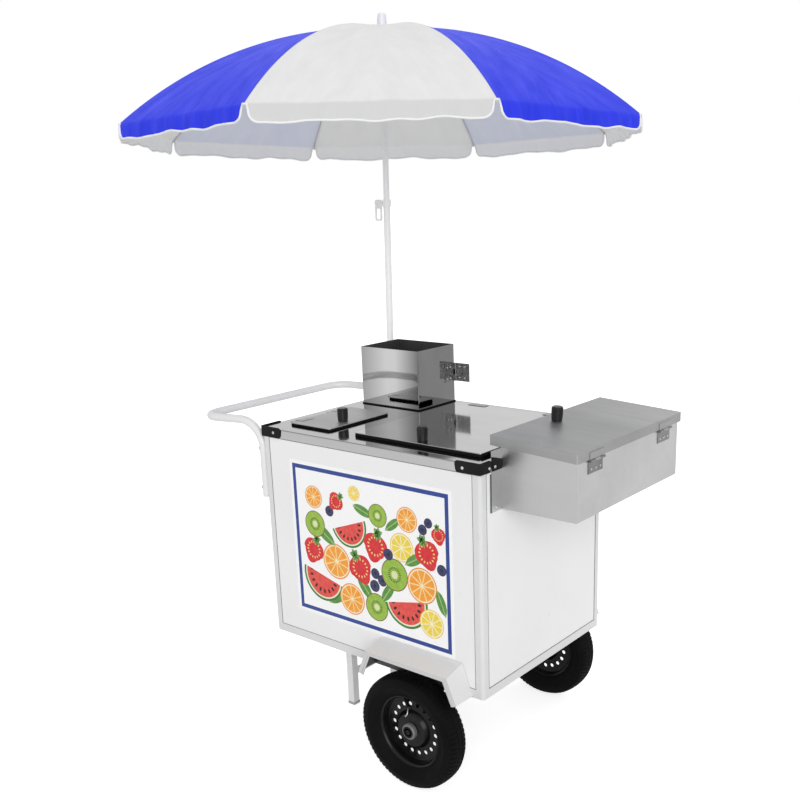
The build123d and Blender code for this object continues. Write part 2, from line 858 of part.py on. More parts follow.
# Push handle: one bent tube bolted to the end posts through lugs
with BuildPart() as push_handle:
    grip_post = handle_face - bracket_thickness - grip_gap - grip_radius
    grip_end = handle_face - grip_reach
    grip_height = counter_height + grip_rise
    knee_height = grip_height + grip_sag
    grip_y = back_face - grip_inset
    with BuildLine() as grip_path:
        FilletPolyline(
            (grip_post, -grip_y, knee_height - grip_drop),
            (grip_post, -grip_y, knee_height),
            (grip_end, -grip_y - grip_splay, grip_height),
            (grip_end, grip_y + grip_splay, grip_height),
            (grip_post, grip_y, knee_height),
            (grip_post, grip_y, knee_height - grip_drop),
            radius=[grip_knee, grip_bend, grip_bend, grip_knee],
        )
    with BuildSketch(Plane(origin=grip_path.line @ 0, z_dir=grip_path.line % 0)):
        Circle(grip_radius)
        Circle(grip_radius - grip_wall, mode=Mode.SUBTRACT)
    sweep()
    with BuildSketch(Plane.YZ.offset(handle_face)):
        for drop in lug_drops:
            with Locations((-grip_y, counter_height - drop), (grip_y, counter_height - drop)):
                Circle(lug_radius)
    extrude(amount=-lug_length)
push_handle.part.label = "push_handle"
export_step(push_handle.part, "parts/push_handle.step")

# Axle and the hangers that carry it
with BuildPart() as axle:
    axle_half = wheel_offset + hub_outer_length - cap_wall
    with BuildSketch(Plane.XZ.offset(-axle_half)):
        with Locations((wheel_place, axle_height)):
            Circle(axle_radius)
    extrude(amount=2 * axle_half)
axle.part.label = "axle"
export_step(axle.part, "parts/axle.step")

with BuildPart() as axle_hangers:
    with BuildSketch(Plane.XZ.offset(-front_face - hanger_inset)):
        with BuildLine():
            Polyline(
                (wheel_place - hanger_top_width / 2, body_bottom),
                (wheel_place - hanger_foot_radius, axle_height),
                (wheel_place + hanger_foot_radius, axle_height),
                (wheel_place + hanger_top_width / 2, body_bottom),
                close=True,
            )
        make_face()
        with Locations((wheel_place, axle_height)):
            Circle(hanger_foot_radius)
            Circle(axle_radius + axle_clearance, mode=Mode.SUBTRACT)
    extrude(amount=-hanger_thickness)
    mirror(about=Plane.XZ)
axle_hangers.part.label = "axle_hangers"
export_step(axle_hangers.part, "parts/axle_hangers.step")


def fender_outline(rise, sheet):
    """Bent fender section: flat top with two flaps down to one level, sheet thick on the inside."""
    centre = wheel_place + fender_shift
    half = fender_length / 2
    top = body_bottom + rise
    foot = body_bottom + flap_foot_rise
    bend = atan2(top - foot, flap_out)
    inner = half - sheet * tan(bend / 2)
    right = [
        (centre + half, top),
        (centre + half + flap_out, foot),
        (centre + half + flap_out - sheet * sin(bend), foot - sheet * cos(bend)),
        (centre + inner, top - sheet),
    ]
    return right + [(2 * centre - x, z) for x, z in reversed(right)]


# Fenders: sloping sheet with a turned-down front lip
with BuildPart() as fenders:
    fender_root = -front_face
    fender_edge = -front_face + fender_depth
    with BuildSketch(Plane.XZ.offset(fender_root)):
        Polygon(*fender_outline(fender_back_rise, fender_sheet), align=None)
    with BuildSketch(Plane.XZ.offset(fender_edge)):
        Polygon(*fender_outline(fender_front_rise, fender_sheet), align=None)
    loft(ruled=True)
    with BuildSketch(Plane.XZ.offset(fender_edge)):
        Polygon(*fender_outline(fender_front_rise, fender_lip), align=None)
    extrude(amount=-fender_sheet)
    mirror(about=Plane.XZ)
fenders.part.label = "fenders"
export_step(fenders.part, "parts/fenders.step")

# Leg frame: square tubes welded under a cross-member that spans the rails
with BuildPart() as leg_frame:
    bore = leg_width - 2 * leg_wall
    span = body_width - 2 * rail_depth
    with BuildSketch(Plane.XY):
        with Locations((leg_place, -leg_spread), (leg_place, leg_spread)):
            Rectangle(leg_width, leg_width)
    extrude(amount=body_bottom)
    with BuildSketch(Plane.XZ.offset(-span / 2)):
        with Locations((leg_place, body_bottom)):
            Rectangle(leg_width, rail_height, align=(Align.CENTER, Align.MIN))
    extrude(amount=span)
    with BuildSketch(Plane.XZ.offset(-leg_spread)):
        with Locations((leg_place, brace_height)):
            Rectangle(brace_width, brace_depth)
    extrude(amount=2 * leg_spread)
    with BuildSketch(Plane.XZ.offset(-span / 2)):
        with Locations((leg_place, body_bottom + leg_wall)):
            Rectangle(bore, rail_height - 2 * leg_wall, align=(Align.CENTER, Align.MIN))
    extrude(amount=span, mode=Mode.SUBTRACT)
    with BuildSketch(Plane.XY.offset(leg_foot_thickness)):
        with Locations((leg_place, -leg_spread), (leg_place, leg_spread)):
            Rectangle(bore, bore)
    extrude(amount=body_bottom + 2 * leg_wall - leg_foot_thickness, mode=Mode.SUBTRACT)
leg_frame.part.label = "leg_frame"
export_step(leg_frame.part, "parts/leg_frame.step")


def tyre_outline():
    """Tyre section: distance from the axle and across the wheel, open toward the rim."""
    wide = tyre_half_width
    bead = rim_radius + rim_gap
    outer = [(bead + rise, rim_bead_half + flare) for rise, flare in tyre_bead_points]
    outer += [(tyre_radius - drop, wide - tuck) for drop, tuck in tyre_shoulder_points]
    inner = [(tyre_radius - tyre_wall, wide - tyre_crown_tuck)]
    inner += [(tyre_radius - drop, wide - tuck - tyre_wall) for drop, tuck in reversed(tyre_shoulder_points[:2])]
    inner.append((bead, rim_bead_half - tyre_wall))
    half = outer + [(x, -y) for x, y in reversed(outer)]
    return half + [(x, -y) for x, y in reversed(inner)] + inner


def rim_outline():
    """Rim section: barrel with two flanges, dished disc and hub."""
    well = rim_radius - rim_sheet
    lip = rim_bead_half + rim_lip
    bore_radius = axle_radius + axle_clearance
    disc_outer = rim_sheet / 2 - disc_inset
    disc_inner = -rim_sheet / 2 - disc_inset
    outer = [
        (bore_radius, hub_outer_length),
        (hub_radius, hub_outer_length),
        (hub_radius, dish_rise + disc_outer),
        (dish_radius, dish_rise + disc_outer),
        (dish_foot_radius, disc_outer),
        (well, disc_outer),
        (well, lip),
        (well, lip + rim_sheet),
        (rim_radius + rim_flange_height, lip + rim_sheet),
        (rim_radius + rim_flange_height, lip),
        (rim_radius, lip),
    ]
    inner = [
        (rim_radius, -lip),
        (rim_radius + rim_flange_height, -lip),
        (rim_radius + rim_flange_height, -lip - rim_sheet),
        (well, -lip - rim_sheet),
        (well, disc_inner),
        (dish_foot_radius, disc_inner),
        (dish_radius, dish_rise + disc_inner),
        (hub_radius, dish_rise + disc_inner),
        (hub_radius, -hub_inner_length),
        (bore_radius, -hub_inner_length),
    ]
    return outer + inner


# Wheels: tyre, perforated steel rim and hub cap on each side
for wheel_name, outward in (("near", -1), ("far", 1)):
    wheel_plane = Plane(
        origin=(wheel_place, outward * wheel_offset, axle_height),
        x_dir=(1, 0, 0),
        z_dir=(0, 0, outward),
    )
    wheel_axis = Axis(wheel_plane.origin, wheel_plane.y_dir)

    with BuildPart() as tyre:
        with BuildSketch(wheel_plane):
            Polygon(*tyre_outline(), align=None)
        revolve(axis=wheel_axis)
    tyre.part.label = f"{wheel_name}_tyre"
    export_step(tyre.part, f"parts/{wheel_name}_tyre.step")

    with BuildPart() as rim:
        with BuildSketch(wheel_plane):
            Polygon(*rim_outline(), align=None)
        revolve(axis=wheel_axis)
        with BuildSketch(Plane(origin=wheel_plane.origin, x_dir=(1, 0, 0), z_dir=wheel_plane.y_dir).offset(-disc_inset)):
            with PolarLocations(rim_hole_ring_radius, rim_holes):
                Circle(rim_hole_radius)
        extrude(amount=rim_sheet, both=True, mode=Mode.SUBTRACT)
    rim.part.label = f"{wheel_name}_rim"
    export_step(rim.part, f"parts/{wheel_name}_rim.step")

    with BuildPart() as hub_cap:
        cap_base_at = dish_rise + rim_sheet / 2 - disc_inset
        with BuildSketch(wheel_plane):
            with BuildLine():
                Polyline(
                    (hub_radius + rim_gap, cap_base_at),
                    (cap_radius, cap_base_at),
                    (cap_radius, cap_base_at + cap_height - cap_wall),
                    (cap_radius - cap_wall, cap_base_at + cap_height),
                    (0, cap_base_at + cap_height),
                    (0, cap_base_at + cap_height - cap_wall),
                    (hub_radius + rim_gap, cap_base_at + cap_height - cap_wall),
                    close=True,
                )
            make_face()
        revolve(axis=wheel_axis)
    hub_cap.part.label = f"{wheel_name}_hub_cap"
    export_step(hub_cap.part, f"parts/{wheel_name}_hub_cap.step")

# Socket tube that holds the umbrella pole in the body's corner
with BuildPart() as pole_socket:
    with BuildSketch(pole_plane.offset(-socket_depth)):
        Circle(socket_radius)
    extrude(amount=socket_depth + socket_rise)
    with BuildSketch(pole_plane.offset(-2 * counter_sheet)):
        Circle(socket_washer)
    extrude(amount=-socket_floor)
    with BuildSketch(pole_plane.offset(-socket_depth + socket_floor)):
        Circle(lower_pole_radius + pole_clearance)
    extrude(amount=socket_depth + socket_rise, mode=Mode.SUBTRACT)
pole_socket.part.label = "pole_socket"
export_step(pole_socket.part, "parts/pole_socket.step")

# Lower pole with a collar at its top for the lock pin
clip_plane = radial_plane(clip_turn)
clip_height = lower_pole_height - collar_height / 2
pin_plane = Plane(
    origin=clip_plane.from_local_coords((0, clip_height, 0)),
    x_dir=clip_plane.y_dir,
    z_dir=clip_plane.x_dir,
)
with BuildPart() as lower_pole:
    pole_foot = -socket_depth + socket_floor
    with BuildSketch(pole_plane.offset(pole_foot)):
        Circle(lower_pole_radius)
    extrude(amount=lower_pole_height - pole_foot)
    with BuildSketch(pole_plane.offset(lower_pole_height - collar_height)):
        Circle(collar_radius)
    extrude(amount=collar_height)
    with BuildSketch(pole_plane.offset(pole_foot + socket_floor)):
        Circle(upper_pole_radius + pole_clearance)
    extrude(amount=lower_pole_height - pole_foot, mode=Mode.SUBTRACT)
    with BuildSketch(pin_plane):
        Circle(clip_pin_radius + pole_clearance)
    extrude(amount=2 * collar_radius, mode=Mode.SUBTRACT)
lower_pole.part.label = "lower_pole"
export_step(lower_pole.part, "parts/lower_pole.step")

# Upper pole, a thinner tube that slides in the lower one
crown_top = dome_height(crown_radius) - cloth_thickness - crown_gap
with BuildPart() as upper_pole:
    with BuildSketch(pole_plane.offset(lower_pole_height - pole_overlap_length)):
        Circle(upper_pole_radius)
        Circle(upper_pole_radius - rail_wall, mode=Mode.SUBTRACT)
    extrude(amount=crown_top - crown_ring_height - lower_pole_height + pole_overlap_length)
upper_pole.part.label = "upper_pole"
export_step(upper_pole.part, "parts/upper_pole.step")

# Lock pin with its hanging pull tab
with BuildPart() as lock_clip:
    tab_root = collar_radius + rim_to_barrel
    with BuildSketch(clip_plane):
        with Locations((tab_root + clip_width / 2, lower_pole_height - clip_length / 2)):
            RectangleRounded(clip_width, clip_length, clip_width / 4)
        with Locations((tab_root + clip_width / 2, lower_pole_height - clip_length + clip_slot[1] / 2 + clip_thickness)):
            RectangleRounded(*clip_slot, clip_slot[0] / 3, mode=Mode.SUBTRACT)
    extrude(amount=clip_thickness / 2, both=True)
    with BuildSketch(pin_plane.offset(upper_pole_radius + rim_gap)):
        Circle(clip_pin_radius)
    extrude(amount=tab_root + clip_thickness - upper_pole_radius)
lock_clip.part.label = "lock_clip"
export_step(lock_clip.part, "parts/lock_clip.step")

# Crown with slots for the ribs, and the cap above the cloth
with BuildPart() as crown:
    stem_top = apex_height + cap_gap
    pole_top = crown_top - crown_ring_height
    with BuildSketch(radial_plane(0)):
        with BuildLine():
            Polyline(
                (0, pole_top),
                (upper_pole_radius + pole_clearance, pole_top),
                (upper_pole_radius + pole_clearance, crown_top - crown_length),
                (crown_hub_radius, crown_top - crown_length),
                (crown_hub_radius, crown_top - 2 * crown_ring_height),
                (crown_radius, crown_top - crown_ring_height),
                (crown_radius, crown_top),
                (cap_stem_radius, crown_top),
                (cap_stem_radius, stem_top),
                (cap_base_radius, stem_top),
                (cap_base_radius - cap_taper / 3, stem_top + cap_rise / 3),
                (cap_base_radius - cap_taper, stem_top + cap_rise - cap_round),
                (cap_base_radius - cap_taper - cap_round, stem_top + cap_rise),
                (0, stem_top + cap_rise),
                close=True,
            )
        make_face()
    revolve(axis=Axis(pole_plane.origin, pole_plane.z_dir))
    with BuildSketch(pole_plane.offset(crown_top)):
        with PolarLocations(crown_hub_radius + crown_radius / 2, rib_count, rib_turn):
            Rectangle(crown_radius, slot_width)
    extrude(amount=-3 * crown_ring_height, mode=Mode.SUBTRACT)
crown.part.label = "crown"
export_step(crown.part, "parts/crown.step")

# Runner that slides on the upper pole and carries the stretchers
with BuildPart() as runner:
    runner_top = runner_height + runner_ring_height / 2
    with BuildSketch(pole_plane.offset(runner_top)):
        Circle(runner_radius)
    extrude(amount=-runner_ring_height)
    with BuildSketch(pole_plane.offset(runner_top)):
        Circle(runner_sleeve_radius)
    extrude(amount=-runner_length)
    with BuildSketch(pole_plane.offset(runner_top)):
        Circle(upper_pole_radius + pole_clearance)
    extrude(amount=-runner_length, mode=Mode.SUBTRACT)
    for rib_index in range(rib_count):
        slot_plane = radial_plane(rib_turn + rib_index * 360 / rib_count).offset(stretcher_offset)
        with BuildSketch(slot_plane):
            with Locations((runner_sleeve_radius, runner_height - runner_ring_height)):
                Rectangle(runner_radius, 2 * runner_ring_height, align=(Align.MIN, Align.MIN))
        extrude(amount=slot_width / 2, both=True, mode=Mode.SUBTRACT)
runner.part.label = "runner"
export_step(runner.part, "parts/runner.step")

# Eight curved ribs and the straight stretchers beside them
rib_arc = dome_radius - rib_drop
dome_centre = apex_height - dome_radius
rib_start = 90 - degrees(asin(crown_hinge_radius / rib_arc))
rib_sweep = degrees(asin(rib_reach / rib_arc)) - degrees(asin(crown_hinge_radius / rib_arc))
stretcher_height = dome_centre + sqrt(rib_arc**2 - stretcher_reach**2)
for rib_index in range(rib_count):
    rib_angle = rib_turn + rib_index * 360 / rib_count

    with BuildPart() as rib:
        with BuildLine(radial_plane(rib_angle)) as rib_path:
            CenterArc((0, dome_centre), rib_arc, rib_start, -rib_sweep)
        with BuildSketch(Plane(origin=rib_path.line @ 0, z_dir=rib_path.line % 0)):
            Circle(rib_wire_radius)
        sweep()
        with BuildSketch(Plane(origin=rib_path.line @ 1, z_dir=rib_path.line % 1)):
            Circle(rib_tip_radius)
        extrude(amount=rib_tip_radius, both=True)
    rib.part.label = f"rib_{rib_index + 1}"
    export_step(rib.part, f"parts/rib_{rib_index + 1}.step")

    with BuildPart() as stretcher:
        with BuildLine(radial_plane(rib_angle).offset(stretcher_offset)) as stretcher_path:
            Line((runner_hinge_radius, runner_height), (stretcher_reach, stretcher_height))
        with BuildSketch(Plane(origin=stretcher_path.line @ 0, z_dir=stretcher_path.line % 0)):
            Circle(stretcher_wire_radius)
        sweep()
    stretcher.part.label = f"stretcher_{rib_index + 1}"
    export_step(stretcher.part, f"parts/stretcher_{rib_index + 1}.step")

# Canopy: eight gores stretched between the ribs, with a hanging valance on each
with BuildPart() as canopy:
    first_angle = asin((canopy_hole_radius + cloth_thickness) / dome_radius)
    for skin in (0, cloth_thickness):
        for level in range(canopy_levels + 1):
            level_angle = first_angle + (rim_angle - first_angle) * level / canopy_levels
            level_radius = dome_radius * sin(level_angle)
            with BuildSketch(pole_plane.offset(dome_height(level_radius) - skin)):
                RegularPolygon(level_radius, rib_count, rotation=rib_turn)
        loft(ruled=True, mode=Mode.SUBTRACT if skin else Mode.ADD)
    with BuildSketch(pole_plane.offset(apex_height)):
        Circle(canopy_hole_radius)
    extrude(amount=2 * cloth_thickness, both=True, mode=Mode.SUBTRACT)
    rim_height = dome_height(rim_reach)
    half_gore = radians(180 / rib_count)
    for gore in range(rib_count):
        gore_plane = radial_plane(rib_turn + (gore + 0.5) * 360 / rib_count)
        hem_plane = Plane(
            origin=gore_plane.from_local_coords((rim_reach * cos(half_gore), rim_height, 0)),
            x_dir=-gore_plane.z_dir,
            z_dir=gore_plane.x_dir,
        )
        with BuildSketch(hem_plane) as hem:
            with Locations((0, cloth_thickness / 2)):
                Rectangle(
                    2 * rim_reach * sin(half_gore) - 2 * valance_notch,
                    valance_height + cloth_thickness / 2,
                    align=(Align.CENTER, Align.MAX),
                )
            fillet(hem.vertices().group_by(Axis.Y)[0], valance_round)
        extrude(amount=-cloth_thickness)
canopy.part.label = "canopy"
export_step(canopy.part, "parts/canopy.step")
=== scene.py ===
# %% [markdown]
# Fruit salad cart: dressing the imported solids.
# The cart is a white painted box with a polished steel counter, hinged lids, a cup holder, a side box, a
# push handle, two barrow wheels, a leg frame and a folding umbrella. The solids come in as a fixed frame,
# and this lesson adds what sheet metal work leaves to the finisher: paint, polish, rubber, cloth, print and
# small fasteners.

# %% Load the solids
import bpy
import json
from math import asin, atan2, cos, pi, radians, sin, sqrt, tan
from mathutils import Matrix, Vector


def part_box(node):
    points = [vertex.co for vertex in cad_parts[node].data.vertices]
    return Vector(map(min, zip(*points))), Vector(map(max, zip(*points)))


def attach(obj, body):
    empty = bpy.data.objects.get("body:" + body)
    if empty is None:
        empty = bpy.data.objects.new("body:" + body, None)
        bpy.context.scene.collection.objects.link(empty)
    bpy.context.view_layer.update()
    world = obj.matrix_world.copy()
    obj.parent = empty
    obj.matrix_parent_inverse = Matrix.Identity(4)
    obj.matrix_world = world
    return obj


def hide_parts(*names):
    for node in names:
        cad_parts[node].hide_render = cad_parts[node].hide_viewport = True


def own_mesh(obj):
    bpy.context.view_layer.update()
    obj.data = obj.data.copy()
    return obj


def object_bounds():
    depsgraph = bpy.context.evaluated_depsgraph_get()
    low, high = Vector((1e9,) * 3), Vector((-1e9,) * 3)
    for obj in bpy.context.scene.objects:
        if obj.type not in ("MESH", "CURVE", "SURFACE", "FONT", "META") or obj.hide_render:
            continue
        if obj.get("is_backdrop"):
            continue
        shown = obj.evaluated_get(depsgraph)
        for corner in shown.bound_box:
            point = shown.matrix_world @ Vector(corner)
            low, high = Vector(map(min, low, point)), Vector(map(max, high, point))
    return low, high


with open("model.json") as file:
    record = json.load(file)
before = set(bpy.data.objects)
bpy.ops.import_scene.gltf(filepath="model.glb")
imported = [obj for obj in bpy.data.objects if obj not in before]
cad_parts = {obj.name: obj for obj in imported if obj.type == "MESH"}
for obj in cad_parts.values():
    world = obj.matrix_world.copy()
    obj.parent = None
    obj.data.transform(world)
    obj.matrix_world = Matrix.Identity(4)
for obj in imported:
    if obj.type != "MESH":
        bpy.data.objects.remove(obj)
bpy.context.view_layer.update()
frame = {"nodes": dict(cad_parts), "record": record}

# %% [markdown]
# The camera stands in front of the right-hand corner, well above the counter, and looks slightly down.
# It could be aimed with a Track To constraint, but the picture has a small roll, so its axes are worked out
# from yaw, pitch and roll and written into the camera's matrix.

# %% Camera
yaw, pitch, roll = radians(39.54), radians(16.14), radians(-1.77)
eye = (1.8474, -2.2493, 1.6242)
look = Vector((-sin(yaw) * cos(pitch), cos(yaw) * cos(pitch), -sin(pitch)))
level = Vector((cos(yaw), sin(yaw), 0))
rise = level.cross(look)
side_axis = level * cos(roll) + rise * sin(roll)
up_axis = rise * cos(roll) - level * sin(roll)
camera = bpy.data.objects.new("camera", bpy.data.cameras.new("camera"))
bpy.context.scene.collection.objects.link(camera)
camera.matrix_world = Matrix((side_axis, up_axis, -look)).transposed().to_4x4()
camera.location = eye
camera.data.sensor_width = 36
camera.data.lens = 45.62
camera.data.shift_x = -0.0375
camera.data.shift_y = 0.10
camera.data.clip_end = 200
bpy.context.scene.camera = camera
bpy.context.scene.view_settings.view_transform = "Standard"
print("camera at", [round(x, 3) for x in camera.location])

# %% [markdown]
# A white studio. The world is an even soft light, and what looks straight or by reflection at it sees plain
# white. Two broad suns shape the cart: the key comes from beside the camera, the fill from above and behind.
# Nodes could be drawn in the editor; in code, one helper feeds a socket with a number or with another node's
# output, and one adds a Math node, and every finish below builds on these two.

# %% Studio
def feed(tree, socket, value):
    """Sets a socket to a plain value, or links another node's output to it."""
    if isinstance(value, bpy.types.NodeSocket):
        tree.links.new(value, socket)
    else:
        socket.default_value = value


def sums(tree, operation, a, b=None, c=None, clamp=False):
    """Output of a Math node; each of a, b and c is a number or another node's output."""
    node = tree.nodes.new("ShaderNodeMath")
    node.operation = operation
    node.use_clamp = clamp
    for socket, value in zip(node.inputs, (a, b, c)):
        if value is not None:
            feed(tree, socket, value)
    return node.outputs[0]


def empty_tree(owner):
    owner.use_nodes = True
    owner.node_tree.nodes.clear()
    return owner.node_tree


def sun(name, toward, strength, spread):
    lamp = bpy.data.lights.new(name, "SUN")
    lamp.energy = strength
    lamp.angle = radians(spread)
    thing = bpy.data.objects.new(name, lamp)
    bpy.context.scene.collection.objects.link(thing)
    thing.rotation_mode = "QUATERNION"
    thing.rotation_quaternion = Vector(toward).to_track_quat("-Z", "Y")


white = (1, 1, 1, 1)
soft_strength, wall_strength = 0.64, 1.0
world = bpy.data.worlds.new("studio")
bpy.context.scene.world = world
tree = empty_tree(world)
rays = tree.nodes.new("ShaderNodeLightPath").outputs
seen = sums(tree, "ADD", rays["Is Camera Ray"], rays["Is Glossy Ray"])
seen = sums(tree, "ADD", seen, rays["Is Transmission Ray"], clamp=True)
choose = tree.nodes.new("ShaderNodeMixShader")
feed(tree, choose.inputs[0], seen)
for place, strength in ((1, soft_strength), (2, wall_strength)):
    light = tree.nodes.new("ShaderNodeBackground")
    light.inputs["Color"].default_value = white
    light.inputs["Strength"].default_value = strength
    feed(tree, choose.inputs[place], light.outputs[0])
feed(tree, tree.nodes.new("ShaderNodeOutputWorld").inputs["Surface"], choose.outputs[0])
sun("key_sun", toward=(-0.67, 0.65, -0.34), strength=1.28, spread=40)
sun("fill_sun", toward=(0.30, -0.42, -0.86), strength=0.3, spread=30)

# %% [markdown]
# The floor is one large sheet at the height of the wheels and feet. A cove could hide the far edge, but with
# the same white on the floor and the wall there is no edge to hide. The floor adds a little white of its own
# for the camera and for reflections, so that it meets the backdrop, and still takes the shadow.

# %% Floor
floor_tone, camera_glow, mirror_glow = 0.80, 0.70, 0.28
bpy.ops.object.select_all(action="DESELECT")
bpy.ops.mesh.primitive_grid_add(x_subdivisions=8, y_subdivisions=8, size=160, location=(0, 0, 0))
floor = bpy.context.object
floor.name = "floor"
floor_paint = bpy.data.materials.new("floor_paint")
tree = empty_tree(floor_paint)
matt = tree.nodes.new("ShaderNodeBsdfDiffuse")
matt.inputs["Color"].default_value = (floor_tone, floor_tone, floor_tone, 1)
rays = tree.nodes.new("ShaderNodeLightPath").outputs
mirrored = sums(tree, "MAXIMUM", rays["Is Glossy Ray"], rays["Is Transmission Ray"])
dimmed = sums(tree, "MULTIPLY", mirrored, mirror_glow)
glow = tree.nodes.new("ShaderNodeEmission")
glow.inputs["Color"].default_value = white
feed(tree, glow.inputs["Strength"], sums(tree, "MULTIPLY_ADD", rays["Is Camera Ray"], camera_glow, dimmed))
both = tree.nodes.new("ShaderNodeAddShader")
feed(tree, both.inputs[0], matt.outputs[0])
feed(tree, both.inputs[1], glow.outputs[0])
feed(tree, tree.nodes.new("ShaderNodeOutputMaterial").inputs["Surface"], both.outputs[0])
floor.data.materials.append(floor_paint)
floor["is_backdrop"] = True
print("floor", floor.dimensions[:])

# %% [markdown]
# Paint, steel, rubber and cloth share a few surface effects: a fine skin, long polishing lines, a weave,
# dust. Each effect is one shader node group with named sockets, built once, and each finish then sets its
# own scale. The group gives out masks and heights only, so the shader itself stays in the material.

# %% Surface skin group
def new_group(name, inputs, outputs):
    """New node group, with the sockets that give its inputs and take its outputs."""
    group = bpy.data.node_groups.new(name, "ShaderNodeTree")
    for label, value in inputs:
        group.interface.new_socket(label, in_out="INPUT", socket_type="NodeSocketFloat").default_value = value
    for label in outputs:
        group.interface.new_socket(label, in_out="OUTPUT", socket_type="NodeSocketFloat")
    return group, group.nodes.new("NodeGroupInput").outputs, group.nodes.new("NodeGroupOutput").inputs


def object_place(tree):
    return tree.nodes.new("ShaderNodeTexCoord").outputs["Object"]


def noise(tree, vector, scale, detail, roughness=0.5):
    grain = tree.nodes.new("ShaderNodeTexNoise")
    values = {"Vector": vector, "Scale": scale, "Detail": detail, "Roughness": roughness}
    for label, value in values.items():
        feed(tree, grain.inputs[label], value)
    return grain.outputs["Fac"]


def ramp(tree, value, low, high, to_low=0.0, to_high=1.0):
    """Carries the range from low to high over to the range from to_low to to_high, and stays inside it."""
    node = tree.nodes.new("ShaderNodeMapRange")
    node.clamp = True
    numbers = {"Value": value, "From Min": low, "From Max": high, "To Min": to_low, "To Max": to_high}
    for label, number in numbers.items():
        feed(tree, node.inputs[label], number)
    return node.outputs["Result"]


specks_to_clouds = 14.0
skin, skin_in, skin_out = new_group(
    "surface_skin", [("Grain Scale", 400.0), ("Cloud Scale", 3.0)], ["Cloud", "Grain", "Speck"]
)
place = object_place(skin)
feed(skin, skin_out["Cloud"], noise(skin, place, skin_in["Cloud Scale"], detail=4))
feed(skin, skin_out["Grain"], noise(skin, place, skin_in["Grain Scale"], detail=2))
speck_scale = sums(skin, "MULTIPLY", skin_in["Cloud Scale"], specks_to_clouds)
spots = noise(skin, place, speck_scale, detail=6, roughness=0.65)
feed(skin, skin_out["Speck"], ramp(skin, spots, 0.62, 0.74))
print("group:", skin.name)

# %% [markdown]
# Polished sheet keeps faint lines along the way it was rolled and buffed, and cloudy marks where it was
# wiped. The lines are noise drawn out twenty times along one direction; the group is told how fine they are.

# %% Polishing lines group
def stretched(tree, vector, scale, turn=0.0):
    """Scales a pattern along each axis and turns it about the upright."""
    node = tree.nodes.new("ShaderNodeMapping")
    node.inputs["Scale"].default_value = scale
    node.inputs["Rotation"].default_value = (0, 0, turn)
    feed(tree, node.inputs["Vector"], vector)
    return node.outputs[0]


buff, buff_in, buff_out = new_group(
    "polishing_lines", [("Line Scale", 60.0), ("Smear Scale", 5.0)], ["Line", "Smear"]
)
place = object_place(buff)
rolled = stretched(buff, place, (0.05, 1.0, 1.0))
wiped = stretched(buff, place, (0.5, 1.0, 0.8), turn=0.6)
feed(buff, buff_out["Line"], noise(buff, rolled, buff_in["Line Scale"], detail=5, roughness=0.7))
feed(buff, buff_out["Smear"], noise(buff, wiped, buff_in["Smear Scale"], detail=3, roughness=0.6))
print("group:", buff.name)

# %% [markdown]
# Road dust gathers low on whatever rolls outdoors. The mask fades upward from the floor and is broken up by
# noise; the finishes use a sixth of it at most, because this cart is new.

# %% Road dust group
def axis_of(tree, vector, axis):
    split = tree.nodes.new("ShaderNodeSeparateXYZ")
    feed(tree, split.inputs[0], vector)
    return split.outputs[axis]


dust, dust_in, dust_out = new_group("road_dust", [("Top", 0.5)], ["Dust"])
place = object_place(dust)
fade = ramp(dust, axis_of(dust, place, "Z"), dust_in["Top"], 0.0)
patches = ramp(dust, noise(dust, place, scale=18.0, detail=6, roughness=0.6), 0.35, 0.75)
feed(dust, dust_out["Dust"], sums(dust, "MULTIPLY", fade, patches))
print("group:", dust.name)

# %% [markdown]
# Umbrella cloth is a plain weave with a coated underside. Two crossed sets of waves on the piece's own UV
# map, which is in metres of cloth, give the threads, and a slow noise gives the slack and the creases from
# folding. Each rib lies at a whole number on that map, so the sewn seam is where the map is near one, and the
# valance is what lies past the hem.

# %% Cloth weave group
crown_to_hem = 0.87
seam_edges = (0.0022, 0.0042)
weave, weave_in, weave_out = new_group(
    "cloth_weave", [("Threads", 900.0)], ["Thread", "Crease", "Valance", "Seam"]
)
cloth_map = weave.nodes.new("ShaderNodeUVMap")
cloth_map.uv_map = "cloth"
cloth_place = cloth_map.outputs[0]
across, down = axis_of(weave, cloth_place, "X"), axis_of(weave, cloth_place, "Y")
warp = sums(weave, "SINE", sums(weave, "MULTIPLY", across, weave_in["Threads"]))
weft = sums(weave, "SINE", sums(weave, "MULTIPLY", down, weave_in["Threads"]))
feed(weave, weave_out["Thread"], sums(weave, "MULTIPLY_ADD", sums(weave, "MULTIPLY", warp, weft), 0.5, 0.5))
drawn_down = stretched(weave, cloth_place, (3.2, 1.0, 1.0))
feed(weave, weave_out["Crease"], noise(weave, drawn_down, scale=7.0, detail=5, roughness=0.6))
feed(weave, weave_out["Valance"], ramp(weave, down, crown_to_hem - 0.004, crown_to_hem + 0.006))
from_rib = sums(weave, "ABSOLUTE", sums(weave, "SUBTRACT", across, sums(weave, "ROUND", across)))
feed(weave, weave_out["Seam"], ramp(weave, from_rib, *seam_edges, to_low=0.8, to_high=0.0))
print("group:", weave.name)

# %% [markdown]
# A finish is a Principled shader fed by those groups. One helper starts it, one blends two colours by a
# mask, one turns a height into a bump, and one gives what paint, enamel and plastic have in common: a colour,
# a gloss that drifts with the clouds of the skin, and the skin's grain. Each finish below is then only its
# own numbers.

# %% Finish helpers
def grey(tone):
    return (tone, tone, tone)


